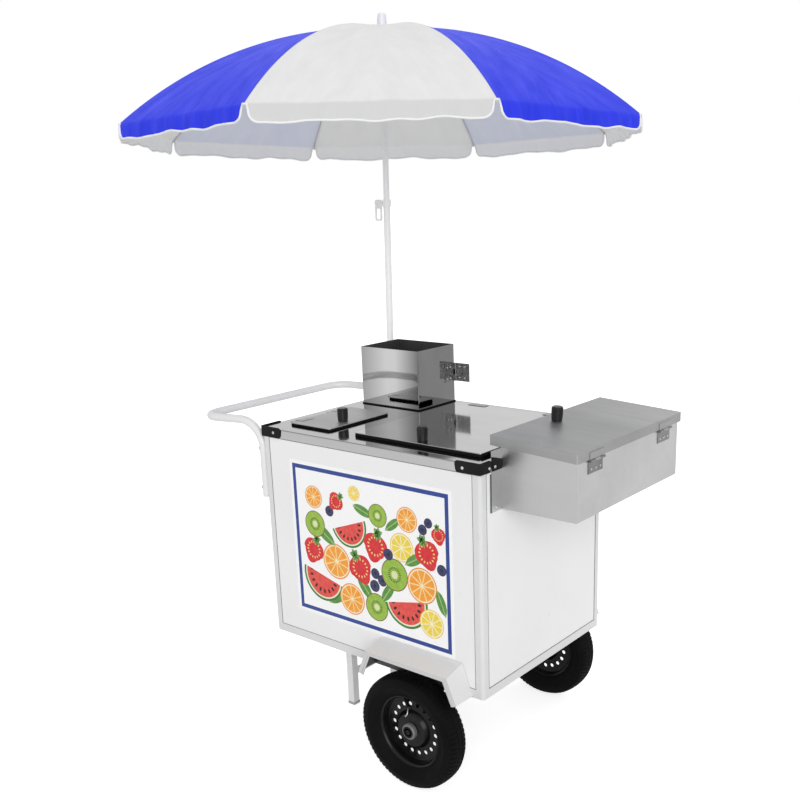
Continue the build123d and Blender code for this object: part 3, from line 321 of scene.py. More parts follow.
def new_finish(name, metallic=0.0, coat=0.0, coat_rough=0.03, specular=0.5):
    finish = bpy.data.materials.new(name)
    finish.use_nodes = True
    shader = finish.node_tree.nodes["Principled BSDF"].inputs
    shader["Metallic"].default_value = metallic
    shader["Coat Weight"].default_value = coat
    shader["Coat Roughness"].default_value = coat_rough
    shader["Specular IOR Level"].default_value = specular
    return finish, finish.node_tree, shader


def place_group(tree, group, **values):
    node = tree.nodes.new("ShaderNodeGroup")
    node.node_tree = group
    for label, value in values.items():
        node.inputs[label.replace("_", " ")].default_value = value
    return node.outputs


def tint(tree, mask, first, second):
    """Blends from the first colour to the second; each is a triple or another node's output."""
    node = tree.nodes.new("ShaderNodeMix")
    node.data_type = "RGBA"
    feed(tree, node.inputs["Factor"], mask)
    ends = [socket for socket in node.inputs if socket.type == "RGBA"]
    for socket, colour in zip(ends, (first, second)):
        feed(tree, socket, (*colour, 1) if isinstance(colour, tuple) else colour)
    return [socket for socket in node.outputs if socket.type == "RGBA"][0]


def bump(tree, shader, height, distance, strength):
    node = tree.nodes.new("ShaderNodeBump")
    node.inputs["Distance"].default_value = distance
    node.inputs["Strength"].default_value = strength
    feed(tree, node.inputs["Height"], height)
    feed(tree, shader["Normal"], node.outputs[0])


def coat_over(tree, shader, marks, colour, rough, depth, strength):
    feed(tree, shader["Base Color"], colour)
    feed(tree, shader["Roughness"], ramp(tree, marks["Cloud"], 0.25, 0.75, *rough))
    bump(tree, shader, marks["Grain"], depth, strength)


def soil(tree, marks, speck_share, dust_top, dust_share):
    dirt = place_group(tree, dust, Top=dust_top)
    low_dust = sums(tree, "MULTIPLY", dirt["Dust"], dust_share)
    return sums(tree, "MULTIPLY_ADD", marks["Speck"], speck_share, low_dust, clamp=True)


# %% [markdown]
# White paint. The panels are flat coated sheet with a satin face. The posts, rails, handle and fenders are
# powder coated, a touch greyer, with the fine orange peel that powder leaves, and the poles and the legs have
# a whiter and glossier coat, painted whiter still as painted light against the shade that falls on them.
# Fenders and rails take painted shade, near black, where their faces look down, and the rails also on their
# outer faces inside the wheel arch, under the fenders. A fender's turned lips are painted a shade greyer,
# painted shade as well. Each such layer is a mask made from the way a face looks or from its place.

# %% Paint masks
fender_middle = 0.1875
flap_slope, flap_reach = 0.352, 0.283


def looks_along(tree, axis):
    """How far a face looks along an axis: for Z, 1 for a top, 0 for a wall, -1 for an underside."""
    return axis_of(tree, tree.nodes.new("ShaderNodeNewGeometry").outputs["True Normal"], axis)


def place_along(tree, axis):
    """A point's place along an axis of the cart, in metres."""
    return axis_of(tree, object_place(tree), axis)


def distance_from(tree, axis, middle):
    return sums(tree, "ABSOLUTE", sums(tree, "SUBTRACT", place_along(tree, axis), middle))


# Faces that look down: the fenders and rails are painted near black there, painted shade.
def underside(tree):
    return ramp(tree, looks_along(tree, "Z"), -0.15, -0.05, 1.0, 0.0)


# Faces that look along Y: a fender's turned lips are painted greyer there, painted shade.
def turned_lip(tree):
    return ramp(tree, sums(tree, "ABSOLUTE", looks_along(tree, "Y")), 0.95, 0.99)


# The rails are painted near black there, painted shade for the shade under the fenders.
def wheel_arch(tree):
    """The outer face of a rail between the two flaps of a fender, which spread as they go down."""
    away = distance_from(tree, "X", fender_middle)
    flare = sums(tree, "MULTIPLY_ADD", place_along(tree, "Z"), flap_slope, away)
    return sums(tree, "MULTIPLY", sums(tree, "LESS_THAN", flare, flap_reach), turned_lip(tree))


# %% [markdown]
# The whites differ in tone and gloss. Each is two tones that the clouds of the skin blend, and a dusty one
# that specks and road dust bring in; then come its layers.

# %% White paints
def white_paint(name, tones, dusty, rough, peel, dust_share, coat, layers=()):
    finish, tree, shader = new_finish(name, coat=coat, coat_rough=0.12)
    marks = place_group(tree, skin, Grain_Scale=peel, Cloud_Scale=2.5)
    colour = tint(tree, ramp(tree, marks["Cloud"], 0.3, 0.7), *tones)
    soiled = soil(tree, marks, speck_share=0.12, dust_top=0.55, dust_share=dust_share)
    colour = tint(tree, soiled, colour, dusty)
    for mask, ink in layers:
        colour = tint(tree, mask(tree), colour, ink)
    coat_over(tree, shader, marks, colour, rough, depth=0.00025, strength=0.5)
    return finish


# Near black painted shade for undersides and for the rails inside the wheel arch.
painted_shade = (0.035, 0.035, 0.036)
road_dirt = (0.50, 0.48, 0.45)
panel_paint = white_paint(
    "panel_paint", [(0.90, 0.90, 0.905), (0.86, 0.86, 0.868)], (0.52, 0.50, 0.47),
    rough=(0.34, 0.46), peel=220.0, dust_share=0.10, coat=0.1,
)
powder_coat = white_paint(
    "powder_coat", [(0.82, 0.82, 0.824), (0.77, 0.77, 0.776)], road_dirt,
    rough=(0.28, 0.42), peel=420.0, dust_share=0.16, coat=0.15,
)
# Whiter tones, partly painted light against the shade on the poles and legs.
pole_coat = white_paint(
    "pole_coat", [(0.96, 0.96, 0.955), (0.93, 0.93, 0.925)], grey(0.55),
    rough=(0.22, 0.34), peel=500.0, dust_share=0.0, coat=0.2,
)
fender_coat = white_paint(
    "fender_coat", [grey(0.80), grey(0.75)], (0.45, 0.44, 0.42),
    rough=(0.32, 0.46), peel=420.0, dust_share=0.06, coat=0.05,
    layers=[(turned_lip, grey(0.62)), (underside, painted_shade)],
)
rail_coat = white_paint(
    "rail_coat", [(0.76, 0.76, 0.762), (0.71, 0.71, 0.713)], road_dirt,
    rough=(0.28, 0.42), peel=420.0, dust_share=0.10, coat=0.15,
    layers=[(underside, painted_shade), (wheel_arch, painted_shade)],
)
whites = (panel_paint, powder_coat, pole_coat, fender_coat, rail_coat)
print("white paints:", [paint.name for paint in whites])

# %% [markdown]
# Steel. The counter, the large lid and the tubs are polished stainless sheet: mirror bright, with wiped
# clouds and faint rolling lines. The counter's top is painted darker than its apron, a painted reflection,
# and the fold between them is painted as a darker line, painted shade. The side box, its lid and the small
# lid are brushed, so they shine more softly. The hinge leaves on these two lids match them, and the others
# are only tumbled, darker and rougher than the counter.

# %% Steels
apron_fold = (0.9526, 0.9534)


# Painted reflection: faces that look up are painted darker.
def painted_dark_top(tree):
    return ramp(tree, looks_along(tree, "Z"), 0.3, 0.9, 0.0, 0.8)


# Painted shade: a darker line along the counter's fold.
def painted_fold_line(tree):
    """The uppermost strip of the counter's walls, where the sheet turns down."""
    height = ramp(tree, place_along(tree, "Z"), *apron_fold, 0.0, 0.7)
    return sums(tree, "MULTIPLY", height, ramp(tree, looks_along(tree, "Z"), 0.2, 0.4, 1.0, 0.0))


def steel(name, bright, dull, rough, lines, depth, layers=()):
    finish, tree, shader = new_finish(name, metallic=1.0)
    rub = place_group(tree, buff, Line_Scale=lines, Smear_Scale=4.0)
    marks = place_group(tree, skin, Grain_Scale=900.0, Cloud_Scale=5.0)
    tone = sums(tree, "MULTIPLY_ADD", rub["Smear"], 0.8, sums(tree, "MULTIPLY", rub["Line"], 0.2))
    colour = tint(tree, ramp(tree, tone, 0.35, 0.65), bright, dull)
    for mask, ink in layers:
        colour = tint(tree, mask(tree), colour, ink)
    specks = sums(tree, "MULTIPLY", marks["Speck"], 0.08)
    feed(tree, shader["Base Color"], tint(tree, specks, colour, grey(0.25)))
    streak = sums(tree, "MULTIPLY_ADD", rub["Line"], 0.5, sums(tree, "MULTIPLY", rub["Smear"], 0.5))
    feed(tree, shader["Roughness"], ramp(tree, streak, 0.35, 0.65, *rough))
    bump(tree, shader, rub["Line"], depth, strength=0.35)
    return finish


counter_sheet = steel(
    "counter_sheet", grey(0.56), grey(0.49), rough=(0.04, 0.10), lines=90.0, depth=0.00004,
    layers=[(painted_dark_top, grey(0.30)), (painted_fold_line, grey(0.14))],
)
mirror_lid = steel("mirror_lid", grey(0.47), grey(0.38), rough=(0.04, 0.11), lines=90.0, depth=0.00004)
satin_lid = steel("satin_lid", grey(0.40), grey(0.34), rough=(0.42, 0.50), lines=60.0, depth=0.00003)
brushed_lid = steel("brushed_lid", grey(0.48), grey(0.42), rough=(0.42, 0.50), lines=60.0, depth=0.00003)
box_sheet = steel("box_sheet", grey(0.58), grey(0.51), rough=(0.32, 0.38), lines=40.0, depth=0.00002)
hinge_metal = steel("hinge_metal", grey(0.30), grey(0.13), rough=(0.12, 0.26), lines=260.0, depth=0.0002)
bolt_metal = steel(
    "bolt_metal", (0.66, 0.66, 0.65), grey(0.46), rough=(0.18, 0.34), lines=300.0, depth=0.0002
)
print("sheets:", [metal.name for metal in (counter_sheet, mirror_lid, satin_lid, brushed_lid, box_sheet)])
print("small metal:", hinge_metal.name, bolt_metal.name)

# %% [markdown]
# The cup holder is bent from one sheet. Its colour holds painted reflection: the long side is painted
# brightest in its middle and darker toward its ends, the short side dark. The inside is painted dark and
# dull, painted shade in the hollow. Object coordinates mark both: a fall of brightness along X, and a box a
# hair smaller than the walls for the inside.

# %% Holder steel
inside_margin = 0.0007
holder_low, holder_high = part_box("cup_holder")
holder_sheet, tree, shader = new_finish("holder_sheet")
rub = place_group(tree, buff, Line_Scale=90.0, Smear_Scale=5.0)
wide = holder_high[0] - holder_low[0]
along_side = place_along(tree, "X")
# Painted reflection: brightness falls off toward both ends along X.
left_side = ramp(tree, along_side, holder_low[0], holder_low[0] + 0.45 * wide, to_low=0.45)
right_side = ramp(tree, along_side, holder_high[0] - 0.40 * wide, holder_high[0], to_low=1.0, to_high=0.16)
worn = sums(tree, "MULTIPLY_ADD", rub["Smear"], 0.2, -0.1)
shine = sums(tree, "ADD", sums(tree, "MULTIPLY", left_side, right_side), worn, clamp=True)
within = []
for axis, low, high in zip("XY", holder_low, holder_high):
    away = distance_from(tree, axis, (low + high) / 2)
    within.append(sums(tree, "LESS_THAN", away, (high - low) / 2 - inside_margin))
# Painted shade: the inside is dark, dull and not metallic.
inside = sums(tree, "MULTIPLY", *within)
holder_painted_tone = tint(tree, shine, grey(0.12), grey(0.62))
feed(tree, shader["Base Color"], tint(tree, inside, holder_painted_tone, grey(0.035)))
feed(tree, shader["Metallic"], sums(tree, "SUBTRACT", 1.0, inside))
streak = ramp(tree, rub["Line"], 0.35, 0.65, 0.02, 0.05)
feed(tree, shader["Roughness"], sums(tree, "MULTIPLY_ADD", inside, 0.5, streak))
bump(tree, shader, rub["Line"], distance=0.00004, strength=0.35)
print("holder finish spans", round(wide, 3))

# %% [markdown]
# Blacks. Brackets and hangers are satin enamel, the rims gloss enamel, the knobs moulded plastic, the seals
# foam rubber and the tyres cured rubber, dustier toward the floor. Each has its own gloss and grain, because
# five equal blacks would read as one lump.

# %% Blacks
def black(name, tones, rough, grain, depth, gloss, dust_share=0.0, dusty=grey(0.1)):
    finish, tree, shader = new_finish(name, specular=gloss)
    marks = place_group(tree, skin, Grain_Scale=grain, Cloud_Scale=9.0)
    colour = tint(tree, ramp(tree, marks["Cloud"], 0.3, 0.7), *tones)
    soiled = soil(tree, marks, speck_share=0.10, dust_top=0.42, dust_share=dust_share)
    colour = tint(tree, soiled, colour, dusty)
    coat_over(tree, shader, marks, colour, rough, depth, strength=0.6)
    return finish


bracket_enamel = black(
    "bracket_enamel", [grey(0.010), (0.017, 0.017, 0.018)], rough=(0.45, 0.60), grain=350.0, depth=0.0002,
    gloss=0.08, dust_share=0.03, dusty=(0.06, 0.06, 0.056),
)
rim_enamel = black(
    "rim_enamel", [grey(0.004), (0.008, 0.008, 0.009)], rough=(0.16, 0.30), grain=250.0, depth=0.0002,
    gloss=0.20, dust_share=0.03, dusty=(0.05, 0.048, 0.045),
)
tyre_rubber = black(
    "tyre_rubber", [grey(0.0035), grey(0.0065)], rough=(0.46, 0.66), grain=600.0, depth=0.0003,
    gloss=0.05, dust_share=0.04, dusty=(0.03, 0.029, 0.027),
)
knob_plastic = black(
    "knob_plastic", [grey(0.008), grey(0.014)], rough=(0.26, 0.38), grain=700.0, depth=0.0001, gloss=0.30
)
seal_rubber = black(
    "seal_rubber", [grey(0.004), grey(0.008)], rough=(0.6, 0.8), grain=900.0, depth=0.0004, gloss=0.10
)
print("blacks:", [b.name for b in (bracket_enamel, rim_enamel, tyre_rubber, knob_plastic, seal_rubber)])

# %% [markdown]
# Plastics. The umbrella's crown, runner, clip and cap are white moulded plastic, the hub caps and the foot
# sleeves grey, the sealant beads dark, and the ribs are wire in a thin pale coat. They share the paint's
# skin, most of them at a finer grain.

# %% Plastics
def plastic(name, tones, rough, grain):
    finish, tree, shader = new_finish(name, specular=0.45)
    marks = place_group(tree, skin, Grain_Scale=grain, Cloud_Scale=14.0)
    colour = tint(tree, ramp(tree, marks["Cloud"], 0.3, 0.7), *tones)
    coat_over(tree, shader, marks, colour, rough, depth=0.00015, strength=0.5)
    return finish


white_plastic = plastic("white_plastic", [grey(0.86), grey(0.78)], rough=(0.28, 0.42), grain=800.0)
cap_plastic = plastic(
    "cap_plastic", [(0.21, 0.21, 0.212), (0.14, 0.14, 0.142)], rough=(0.30, 0.48), grain=500.0
)
rib_coat = plastic("rib_coat", [(0.80, 0.80, 0.81), (0.66, 0.66, 0.68)], rough=(0.25, 0.40), grain=900.0)
foot_plastic = plastic("foot_plastic", [grey(0.52), grey(0.42)], rough=(0.40, 0.60), grain=700.0)
bead_grey = plastic("bead_grey", [grey(0.10), grey(0.07)], rough=(0.50, 0.65), grain=600.0)
print("plastics:", [p.name for p in (white_plastic, cap_plastic, rib_coat, foot_plastic, bead_grey)])

# %% [markdown]
# The solids keep their own shapes and take these finishes through their material slots. The record names a
# slot for each node, so one table from slot to finish dresses them all, and a second one names the nodes that
# differ. The canopy's solid is hidden later by sewn cloth, so any pale finish will do for it.

# %% Dress the solids
finish_of_slot = {
    "polished_steel": counter_sheet, "hinge_steel": hinge_metal, "panel_white": panel_paint,
    "frame_white": powder_coat, "bracket_black": bracket_enamel, "knob_black": knob_plastic,
    "seal_rubber": seal_rubber, "tyre": tyre_rubber, "rim_black": rim_enamel, "cap_grey": cap_plastic,
    "umbrella_plastic": white_plastic, "rib_wire": rib_coat, "canopy_cloth": white_plastic,
}
finish_of_node = {
    "small_lid": brushed_lid, "small_lid_leaves": brushed_lid, "large_lid": mirror_lid, "side_lid": satin_lid,
    "side_lid_leaves": satin_lid, "side_box": box_sheet, "cup_holder": holder_sheet, "fenders": fender_coat,
    "bottom_rails": rail_coat, "floor_panel": rail_coat, "corner_posts": rail_coat, "leg_frame": pole_coat,
    "lower_pole": pole_coat, "upper_pole": pole_coat, "pole_socket": pole_coat,
}
for subpart in frame["record"]["subparts"]:
    solid = frame["nodes"][subpart["node"]]
    finish = finish_of_node.get(subpart["node"], finish_of_slot[subpart["material_slot"]])
    if not solid.material_slots:
        solid.data.materials.append(finish)
    for holder in solid.material_slots:
        holder.material = finish

# %% [markdown]
# Modelling by hand goes through the same few moves each time: clear the selection, add a primitive, go into
# edit mode, pick faces or edges by where they are, run an operator. These helpers hold those moves.

# %% Modelling helpers
def clear_selection():
    if bpy.context.object and bpy.context.object.mode != "OBJECT":
        bpy.ops.object.mode_set(mode="OBJECT")
    bpy.ops.object.select_all(action="DESELECT")


def select_only(obj):
    clear_selection()
    bpy.context.view_layer.objects.active = obj
    obj.select_set(True)


def fix_place():
    """Moves the active object's place, turn and scale into its mesh."""
    bpy.ops.object.transform_apply(location=True, rotation=True, scale=True)
    return bpy.context.object


def pick(obj, kind, test):
    """Selects faces by centre and normal, or edges by their two ends, and stays in edit mode."""
    bpy.ops.object.mode_set(mode="OBJECT")
    mesh = obj.data
    bpy.context.tool_settings.mesh_select_mode = (False, kind == "EDGE", kind == "FACE")
    for part in (mesh.vertices, mesh.edges, mesh.polygons):
        part.foreach_set("select", [False] * len(part))
    if kind == "FACE":
        for face in mesh.polygons:
            face.select = bool(test(face.center, face.normal))
    else:
        for edge in mesh.edges:
            a, b = (mesh.vertices[v].co for v in edge.vertices)
            edge.select = bool(test(a, b))
    bpy.ops.object.mode_set(mode="EDIT")


def edit_all(obj):
    select_only(obj)
    bpy.ops.object.mode_set(mode="EDIT")
    bpy.ops.mesh.select_all(action="SELECT")


def extrude(x, y, z):
    bpy.ops.mesh.extrude_region_move(TRANSFORM_OT_translate={"value": (x, y, z)})


def turn_outward():
    bpy.ops.mesh.select_all(action="SELECT")
    bpy.ops.mesh.normals_make_consistent(inside=False)


# %% [markdown]
# Finishing a piece has its own moves: apply a modifier, copy a master to a place, join what belongs together,
# and settle the piece with its name, finish and body. A master that was only copied is removed afterwards.

# %% Placing helpers
def add_modifier(obj, kind, **values):
    modifier = obj.modifiers.new(kind.lower(), kind)
    for label, value in values.items():
        setattr(modifier, label, value)
    select_only(obj)
    bpy.ops.object.modifier_apply(modifier=modifier.name)


def soften(obj, width):
    add_modifier(obj, "BEVEL", width=width, segments=2, limit_method="ANGLE", angle_limit=radians(40))


def settle(obj, name, finish, body, smooth):
    """Applies the object's place to its mesh and sends the piece to ride on its body."""
    select_only(obj)
    fix_place()
    if smooth:
        bpy.ops.object.shade_smooth_by_angle(angle=radians(smooth))
    obj.name = obj.data.name = name
    if finish is not None:
        obj.data.materials.clear()
        obj.data.materials.append(finish)
    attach(obj, body)
    return obj


def copy_at(master, matrix):
    twin = master.copy()
    twin.data = master.data.copy()
    bpy.context.scene.collection.objects.link(twin)
    twin.data.transform(matrix)
    return twin


def join_all(pieces):
    clear_selection()
    for piece in pieces:
        piece.select_set(True)
    bpy.context.view_layer.objects.active = pieces[0]
    bpy.ops.object.join()
    return pieces[0]


def remove_masters(*masters):
    clear_selection()
    for master in masters:
        bpy.data.objects.remove(master)


# %% [markdown]
# The umbrella's cloth. On the real thing eight gores are sewn along the ribs and a scalloped valance hangs
# from each. It could be one lathe shape, but then it would be round: here each row of cloth runs straight
# from rib to rib, dips a little between them, and turns down into the valance. It is cut in the middle of
# each gore, so that every rib carries the cloth beside it when the umbrella folds, and both sides of a cut
# follow the same formula and meet exactly.

# %% Umbrella measures
pole_foot = Vector((-0.3835, 0.265, 0.956))
pole_up = Vector((tan(radians(-0.7)), tan(radians(2.0)), 1)).normalized()
pole_x = (Vector((1, 0, 0)) - pole_up * pole_up.x).normalized()
pole_y = pole_up.cross(pole_x)
apex, dome_radius, rim_reach = 1.142, 1.260603, 0.808
gores, first_rib = 8, -28.6
half_gore = pi / gores
half_chord = rim_reach * sin(half_gore)
rim_slope = asin(rim_reach / dome_radius)
valance, notch, corner = 0.047, 0.009, 0.026
root_drop, root_half = 0.003, 0.006


def rib_angle(k):
    return radians(first_rib + 360 / gores * k)


def outward(angle):
    return pole_x * cos(angle) + pole_y * sin(angle)


def dome_height(r):
    return apex - dome_radius + sqrt(dome_radius**2 - r**2)


def valance_drop(d):
    """Length of the valance at d metres from the rib along the hem, with a rounded corner beside the rib."""
    if d < root_half:
        return root_drop
    if d < notch:
        return root_drop + (valance - corner - root_drop) * (d - root_half) / (notch - root_half)
    if d < notch + corner:
        return valance - corner + sqrt(corner**2 - (corner - (d - notch)) ** 2)
    return valance


print("half chord of a gore", round(half_chord, 4), "slope at the hem", round(rim_slope, 3))

# %% [markdown]
# The wrinkles are small sums of waves that depend on the gore and on the place along it, never on the piece,
# which is what keeps neighbouring pieces together. They die out at the ribs, where the cloth is sewn tight.

# %% Cloth waves
ripple_depth, fan_depth, tug_depth = 0.0022, 0.0016, 0.0011
short_sag, long_sag = 0.0016, 0.0030


def ripple(gore, x, share):
    """How far the valance sways out at x metres from the middle of its gore."""
    a, b = 1.3 * gore + 0.4, 2.1 * gore + 1.7
    wave = sin(x * 74 + a) + 0.6 * sin(x * 131 + b) + 0.35 * sin(x * 211 + a * b)
    return ripple_depth * wave * share


def crease(gore, x, r):
    """How far the dome's cloth stands out: folds that fan from the crown, and short tugs at the hem."""
    a = 0.9 * gore + 0.3
    far = r / rim_reach
    fan = sin(14 * x / max(far, 0.15) + a) * sin(9 * far + 1.7 * a)
    tug = sin(46 * x + 5 * far + 2 * a)
    return fan_depth * fan * far + tug_depth * tug * far**4


def unevenness(gore, x):
    """How much longer or shorter the valance is at x metres from the middle of its gore."""
    return short_sag * sin(x * 57 + gore) + long_sag * sin(x * 21 + 1.9 * gore)


print("wave depths", ripple_depth, fan_depth, tug_depth, "sags", short_sag, long_sag)

# %% [markdown]
# A point of cloth is found in two steps. On the dome it lies on the straight run between the ribs, dipped and
# creased. Past the hem the cloth turns from the dome's slope to hang almost plumb, so the valance is followed
# down in short steps whose angle changes as it goes.

# %% Cloth shape
near_rib = 0.035
hem_steps = [0, 0.003, 0.006, 0.009, 0.011, 0.014, 0.018, 0.023, 0.029, near_rib]
hem_steps += [near_rib + (half_chord - near_rib) * i / 24 for i in range(1, 25)]
dome_rows, valance_rows = 34, 9
crown_hole, gore_dip = 0.0102, 0.007
hang, bend_length, hang_steps = radians(84), 0.014, 12
sag_start, sway_start = 0.05, 0.04


def dome_point(gore, side, k, d, row):
    u = d / half_chord
    middle = rib_angle(k) + side * half_gore
    first = asin(crown_hole / dome_radius)
    phi = first + (rim_slope - first) * row / dome_rows
    r = dome_radius * sin(phi)
    flat = outward(rib_angle(k)) * r * (1 - u) + outward(middle) * r * cos(half_gore) * u
    spot = pole_foot + flat + pole_up * dome_height(r)
    push = outward(middle) * sin(phi) + pole_up * cos(phi)
    dip = -gore_dip * (1 - (1 - u) ** 2) * sin(pi * min(r / rim_reach, 1))
    tight = sin(pi * min(u, 1) / 2)
    return spot + push * (dip + tight * crease(gore, side * (d - half_chord) * r / rim_reach, r))


def cloth_point(gore, side, k, d, row):
    """Point of the outer face: d metres from rib k along the hem, row counted from the top of the dome."""
    if row <= dome_rows:
        return dome_point(gore, side, k, d, row)
    x = side * (d - half_chord)
    share = (row - dome_rows) / valance_rows
    length = (valance_drop(d) + unevenness(gore, x) * min(1, d / sag_start)) * share
    out = down = 0.0
    for i in range(hang_steps):
        run = length * (i + 0.5) / hang_steps
        angle = hang + (rim_slope - hang) * max(0.0, 1 - run / bend_length) ** 1.5
        out += cos(angle) * length / hang_steps
        down += sin(angle) * length / hang_steps
    swing = ripple(gore, x, share) * min(1, d / sway_start)
    away = outward(rib_angle(k) + side * half_gore)
    return dome_point(gore, side, k, d, dome_rows) + away * (out + swing) - pole_up * down


print("rows", dome_rows + valance_rows, "columns", 2 * len(hem_steps) - 1)

# %% [markdown]
# Cloth finishes. Royal blue and white gores alternate; the underside is a pale coating through which the blue
# shows as lavender. The weave is far too fine to see from the camera, but it softens the gloss. On the
# valance, which hangs at another angle, the white cloth is painted darker, painted shade, and both linings
# are painted lighter, painted light for light that comes through the thin cloth. Along each seam the gores
# and linings are painted darker, painted shade.

# %% Cloth finishes
def cloth_finish(name, light, dark, rough, painted_valance_tone=None, painted_seam_shade=None):
    finish, tree, shader = new_finish(name, specular=0.25)
    yarn = place_group(tree, weave, Threads=3800.0)
    colour = tint(tree, ramp(tree, yarn["Crease"], 0.3, 0.7), light, dark)
    for label, tone in (("Valance", painted_valance_tone), ("Seam", painted_seam_shade)):
        if tone is not None:
            colour = tint(tree, yarn[label], colour, tone)
    feed(tree, shader["Base Color"], colour)
    feed(tree, shader["Roughness"], ramp(tree, yarn["Crease"], 0.3, 0.7, rough - 0.08, rough + 0.08))
    threads = sums(tree, "MULTIPLY", yarn["Thread"], 0.05)
    bump(tree, shader, sums(tree, "ADD", yarn["Crease"], threads), distance=0.004, strength=0.4)
    return finish


# The valance tones are painted shade on the white cloth and painted light on the linings; seam tones are
# painted shade.
blue_cloth = cloth_finish(
    "blue_cloth", (0.023, 0.044, 0.87), (0.015, 0.033, 0.75), rough=0.6, painted_seam_shade=(0.010, 0.018, 0.50)
)
white_cloth = cloth_finish(
    "white_cloth", grey(0.80), grey(0.75), rough=0.65, painted_valance_tone=(0.65, 0.65, 0.655), painted_seam_shade=grey(0.72)
)
blue_lining = cloth_finish(
    "blue_lining", (0.80, 0.83, 0.94), (0.74, 0.77, 0.91), rough=0.6,
    painted_valance_tone=(0.97, 0.97, 0.99), painted_seam_shade=(0.55, 0.57, 0.66),
)
white_lining = cloth_finish(
    "white_lining", (0.94, 0.94, 0.935), (0.90, 0.90, 0.895), rough=0.6,
    painted_valance_tone=(0.99, 0.99, 0.985), painted_seam_shade=(0.66, 0.66, 0.655),
)
hem_tape = cloth_finish("hem_tape", grey(0.95), grey(0.90), rough=0.6)
cloths = (blue_cloth, white_cloth, blue_lining, white_lining)
print("cloths:", [cloth.name for cloth in cloths], "and", hem_tape.name)

# %% [markdown]
# The cloth of a rib is one grid: columns from the middle of one gore over the rib to the middle of the next,
# rows from the hole at the top to the edge of the valance. Solidify gives the cloth its thickness and the
# lining its own finish. The tape round the hem is a round bar along the grid's last row: a curve with a
# bevel, made a mesh.

# %% Cloth and tape helpers
cloth_thickness = 0.0008


def sew_band(name, k, points, uvs):
    """Sheet of cloth over rib k from whole rows of the grid and their places on the cloth's map."""
    wide = 2 * len(hem_steps) - 1
    faces = [
        (row * wide + c, (row + 1) * wide + c, (row + 1) * wide + c + 1, row * wide + c + 1)
        for row in range(len(points) // wide - 1)
        for c in range(wide - 1)
    ]
    mesh = bpy.data.meshes.new(name)
    mesh.from_pydata([p[:] for p in points], [], faces)
    for finish in cloths:
        mesh.materials.append(finish)
    layer = mesh.uv_layers.new(name="cloth")
    for loop in mesh.loops:
        layer.data[loop.index].uv = uvs[loop.vertex_index]
    for face in mesh.polygons:
        on_next = face.index % (wide - 1) >= wide // 2
        face.material_index = (k if on_next else k - 1) % 2
    band = bpy.data.objects.new(name, mesh)
    bpy.context.scene.collection.objects.link(band)
    add_modifier(
        band, "SOLIDIFY", thickness=cloth_thickness, offset=-1.0, material_offset=2, use_even_offset=True
    )
    bpy.ops.object.shade_smooth_by_angle(angle=radians(24))
    return band


def tube_along(name, points, radius, fineness, kind):
    """Round bar along a path: a POLY line from point to point, or a NURBS curve that bends past them."""
    path = bpy.data.curves.new(name, "CURVE")
    path.dimensions = "3D"
    path.bevel_depth = radius
    path.bevel_resolution = fineness
    path.use_fill_caps = True
    line = path.splines.new(kind)
    line.points.add(len(points) - 1)
    for spot, point in zip(line.points, points):
        spot.co = (*point, 1)
    if kind == "NURBS":
        line.order_u = 3
        line.use_endpoint_u = True
    tube = bpy.data.objects.new(name, path)
    bpy.context.scene.collection.objects.link(tube)
    select_only(tube)
    bpy.ops.object.convert(target="MESH")
    return bpy.context.object


# %% [markdown]
# Folded ribs leave the cloth much less room at the hem than at the crown, so each grid is cut into five bands
# that meet row on row.

# %% Sew the canopy
tape_radius = 0.0031
total_rows = dome_rows + valance_rows
band_rows = [0, 3, 6, 11, 18, total_rows]
columns = [(-1, d) for d in reversed(hem_steps)] + [(1, d) for d in hem_steps[1:]]
wide = len(columns)
canopy = []
for k in range(gores):
    points, uvs = [], []
    for row in range(total_rows + 1):
        down = crown_to_hem * min(1, row / dome_rows) + valance * max(0, row - dome_rows) / valance_rows
        for side, d in columns:
            points.append(cloth_point(k if side > 0 else (k - 1) % gores, side, k, d, row))
            uvs.append((side * d * min(1, row / dome_rows) + k, down))
    sewn = []
    for number, (first, last) in enumerate(zip(band_rows, band_rows[1:]), 1):
        name = f"canopy_piece_{k + 1}" if last == total_rows else f"canopy_band_{k + 1}_{number}"
        rows = slice(first * wide, (last + 1) * wide)
        sewn.append(sew_band(name, k, points[rows], uvs[rows]))
    hem = tube_along(f"canopy_hem_{k + 1}", points[-wide:], tape_radius, fineness=1, kind="POLY")
    hem.data.uv_layers.new(name="cloth")
    hem.data.materials.clear()
    hem.data.materials.append(hem_tape)
    bpy.ops.object.shade_smooth()
    canopy.append([*sewn, hem])
print("canopy pieces", len(canopy), "with", len(band_rows) - 2, "bands above each")

# %% [markdown]
# When the runner slides down the ribs swing in. Each piece rides on its rib, bands and tape together, and
# gets a mesh of its own.

# %% Hang the canopy on its ribs
band_keeps = [0.78, 0.60, 0.47, 0.385, 0.30]
for k, (*upper, piece, hem) in enumerate(canopy):
    for soft, keep in zip([*upper, piece, hem], [*band_keeps, band_keeps[-1]]):
        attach(soft, f"rib_{k + 1}_body")
        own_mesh(soft)
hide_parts("canopy")
print("folding pieces:", sum(len(layers) for layers in canopy))

# %% [markdown]
# Tyres. A barrow tyre has a rounded section, a bead line on its sidewall and blocks on its crown and
# shoulders. A torus with a bumpy material would have a smooth outline, so a ring is extruded through the
# tyre's section step by step, and the blocks are raised from every two columns of three.

# %% Ring helpers
def cylinder(radius, depth, sides, location, turn=(0, 0, 0), ends="NGON"):
    clear_selection()
    bpy.ops.mesh.primitive_cylinder_add(
        vertices=sides, radius=radius, depth=depth, end_fill_type=ends, rotation=turn, location=location
    )
    return fix_place()


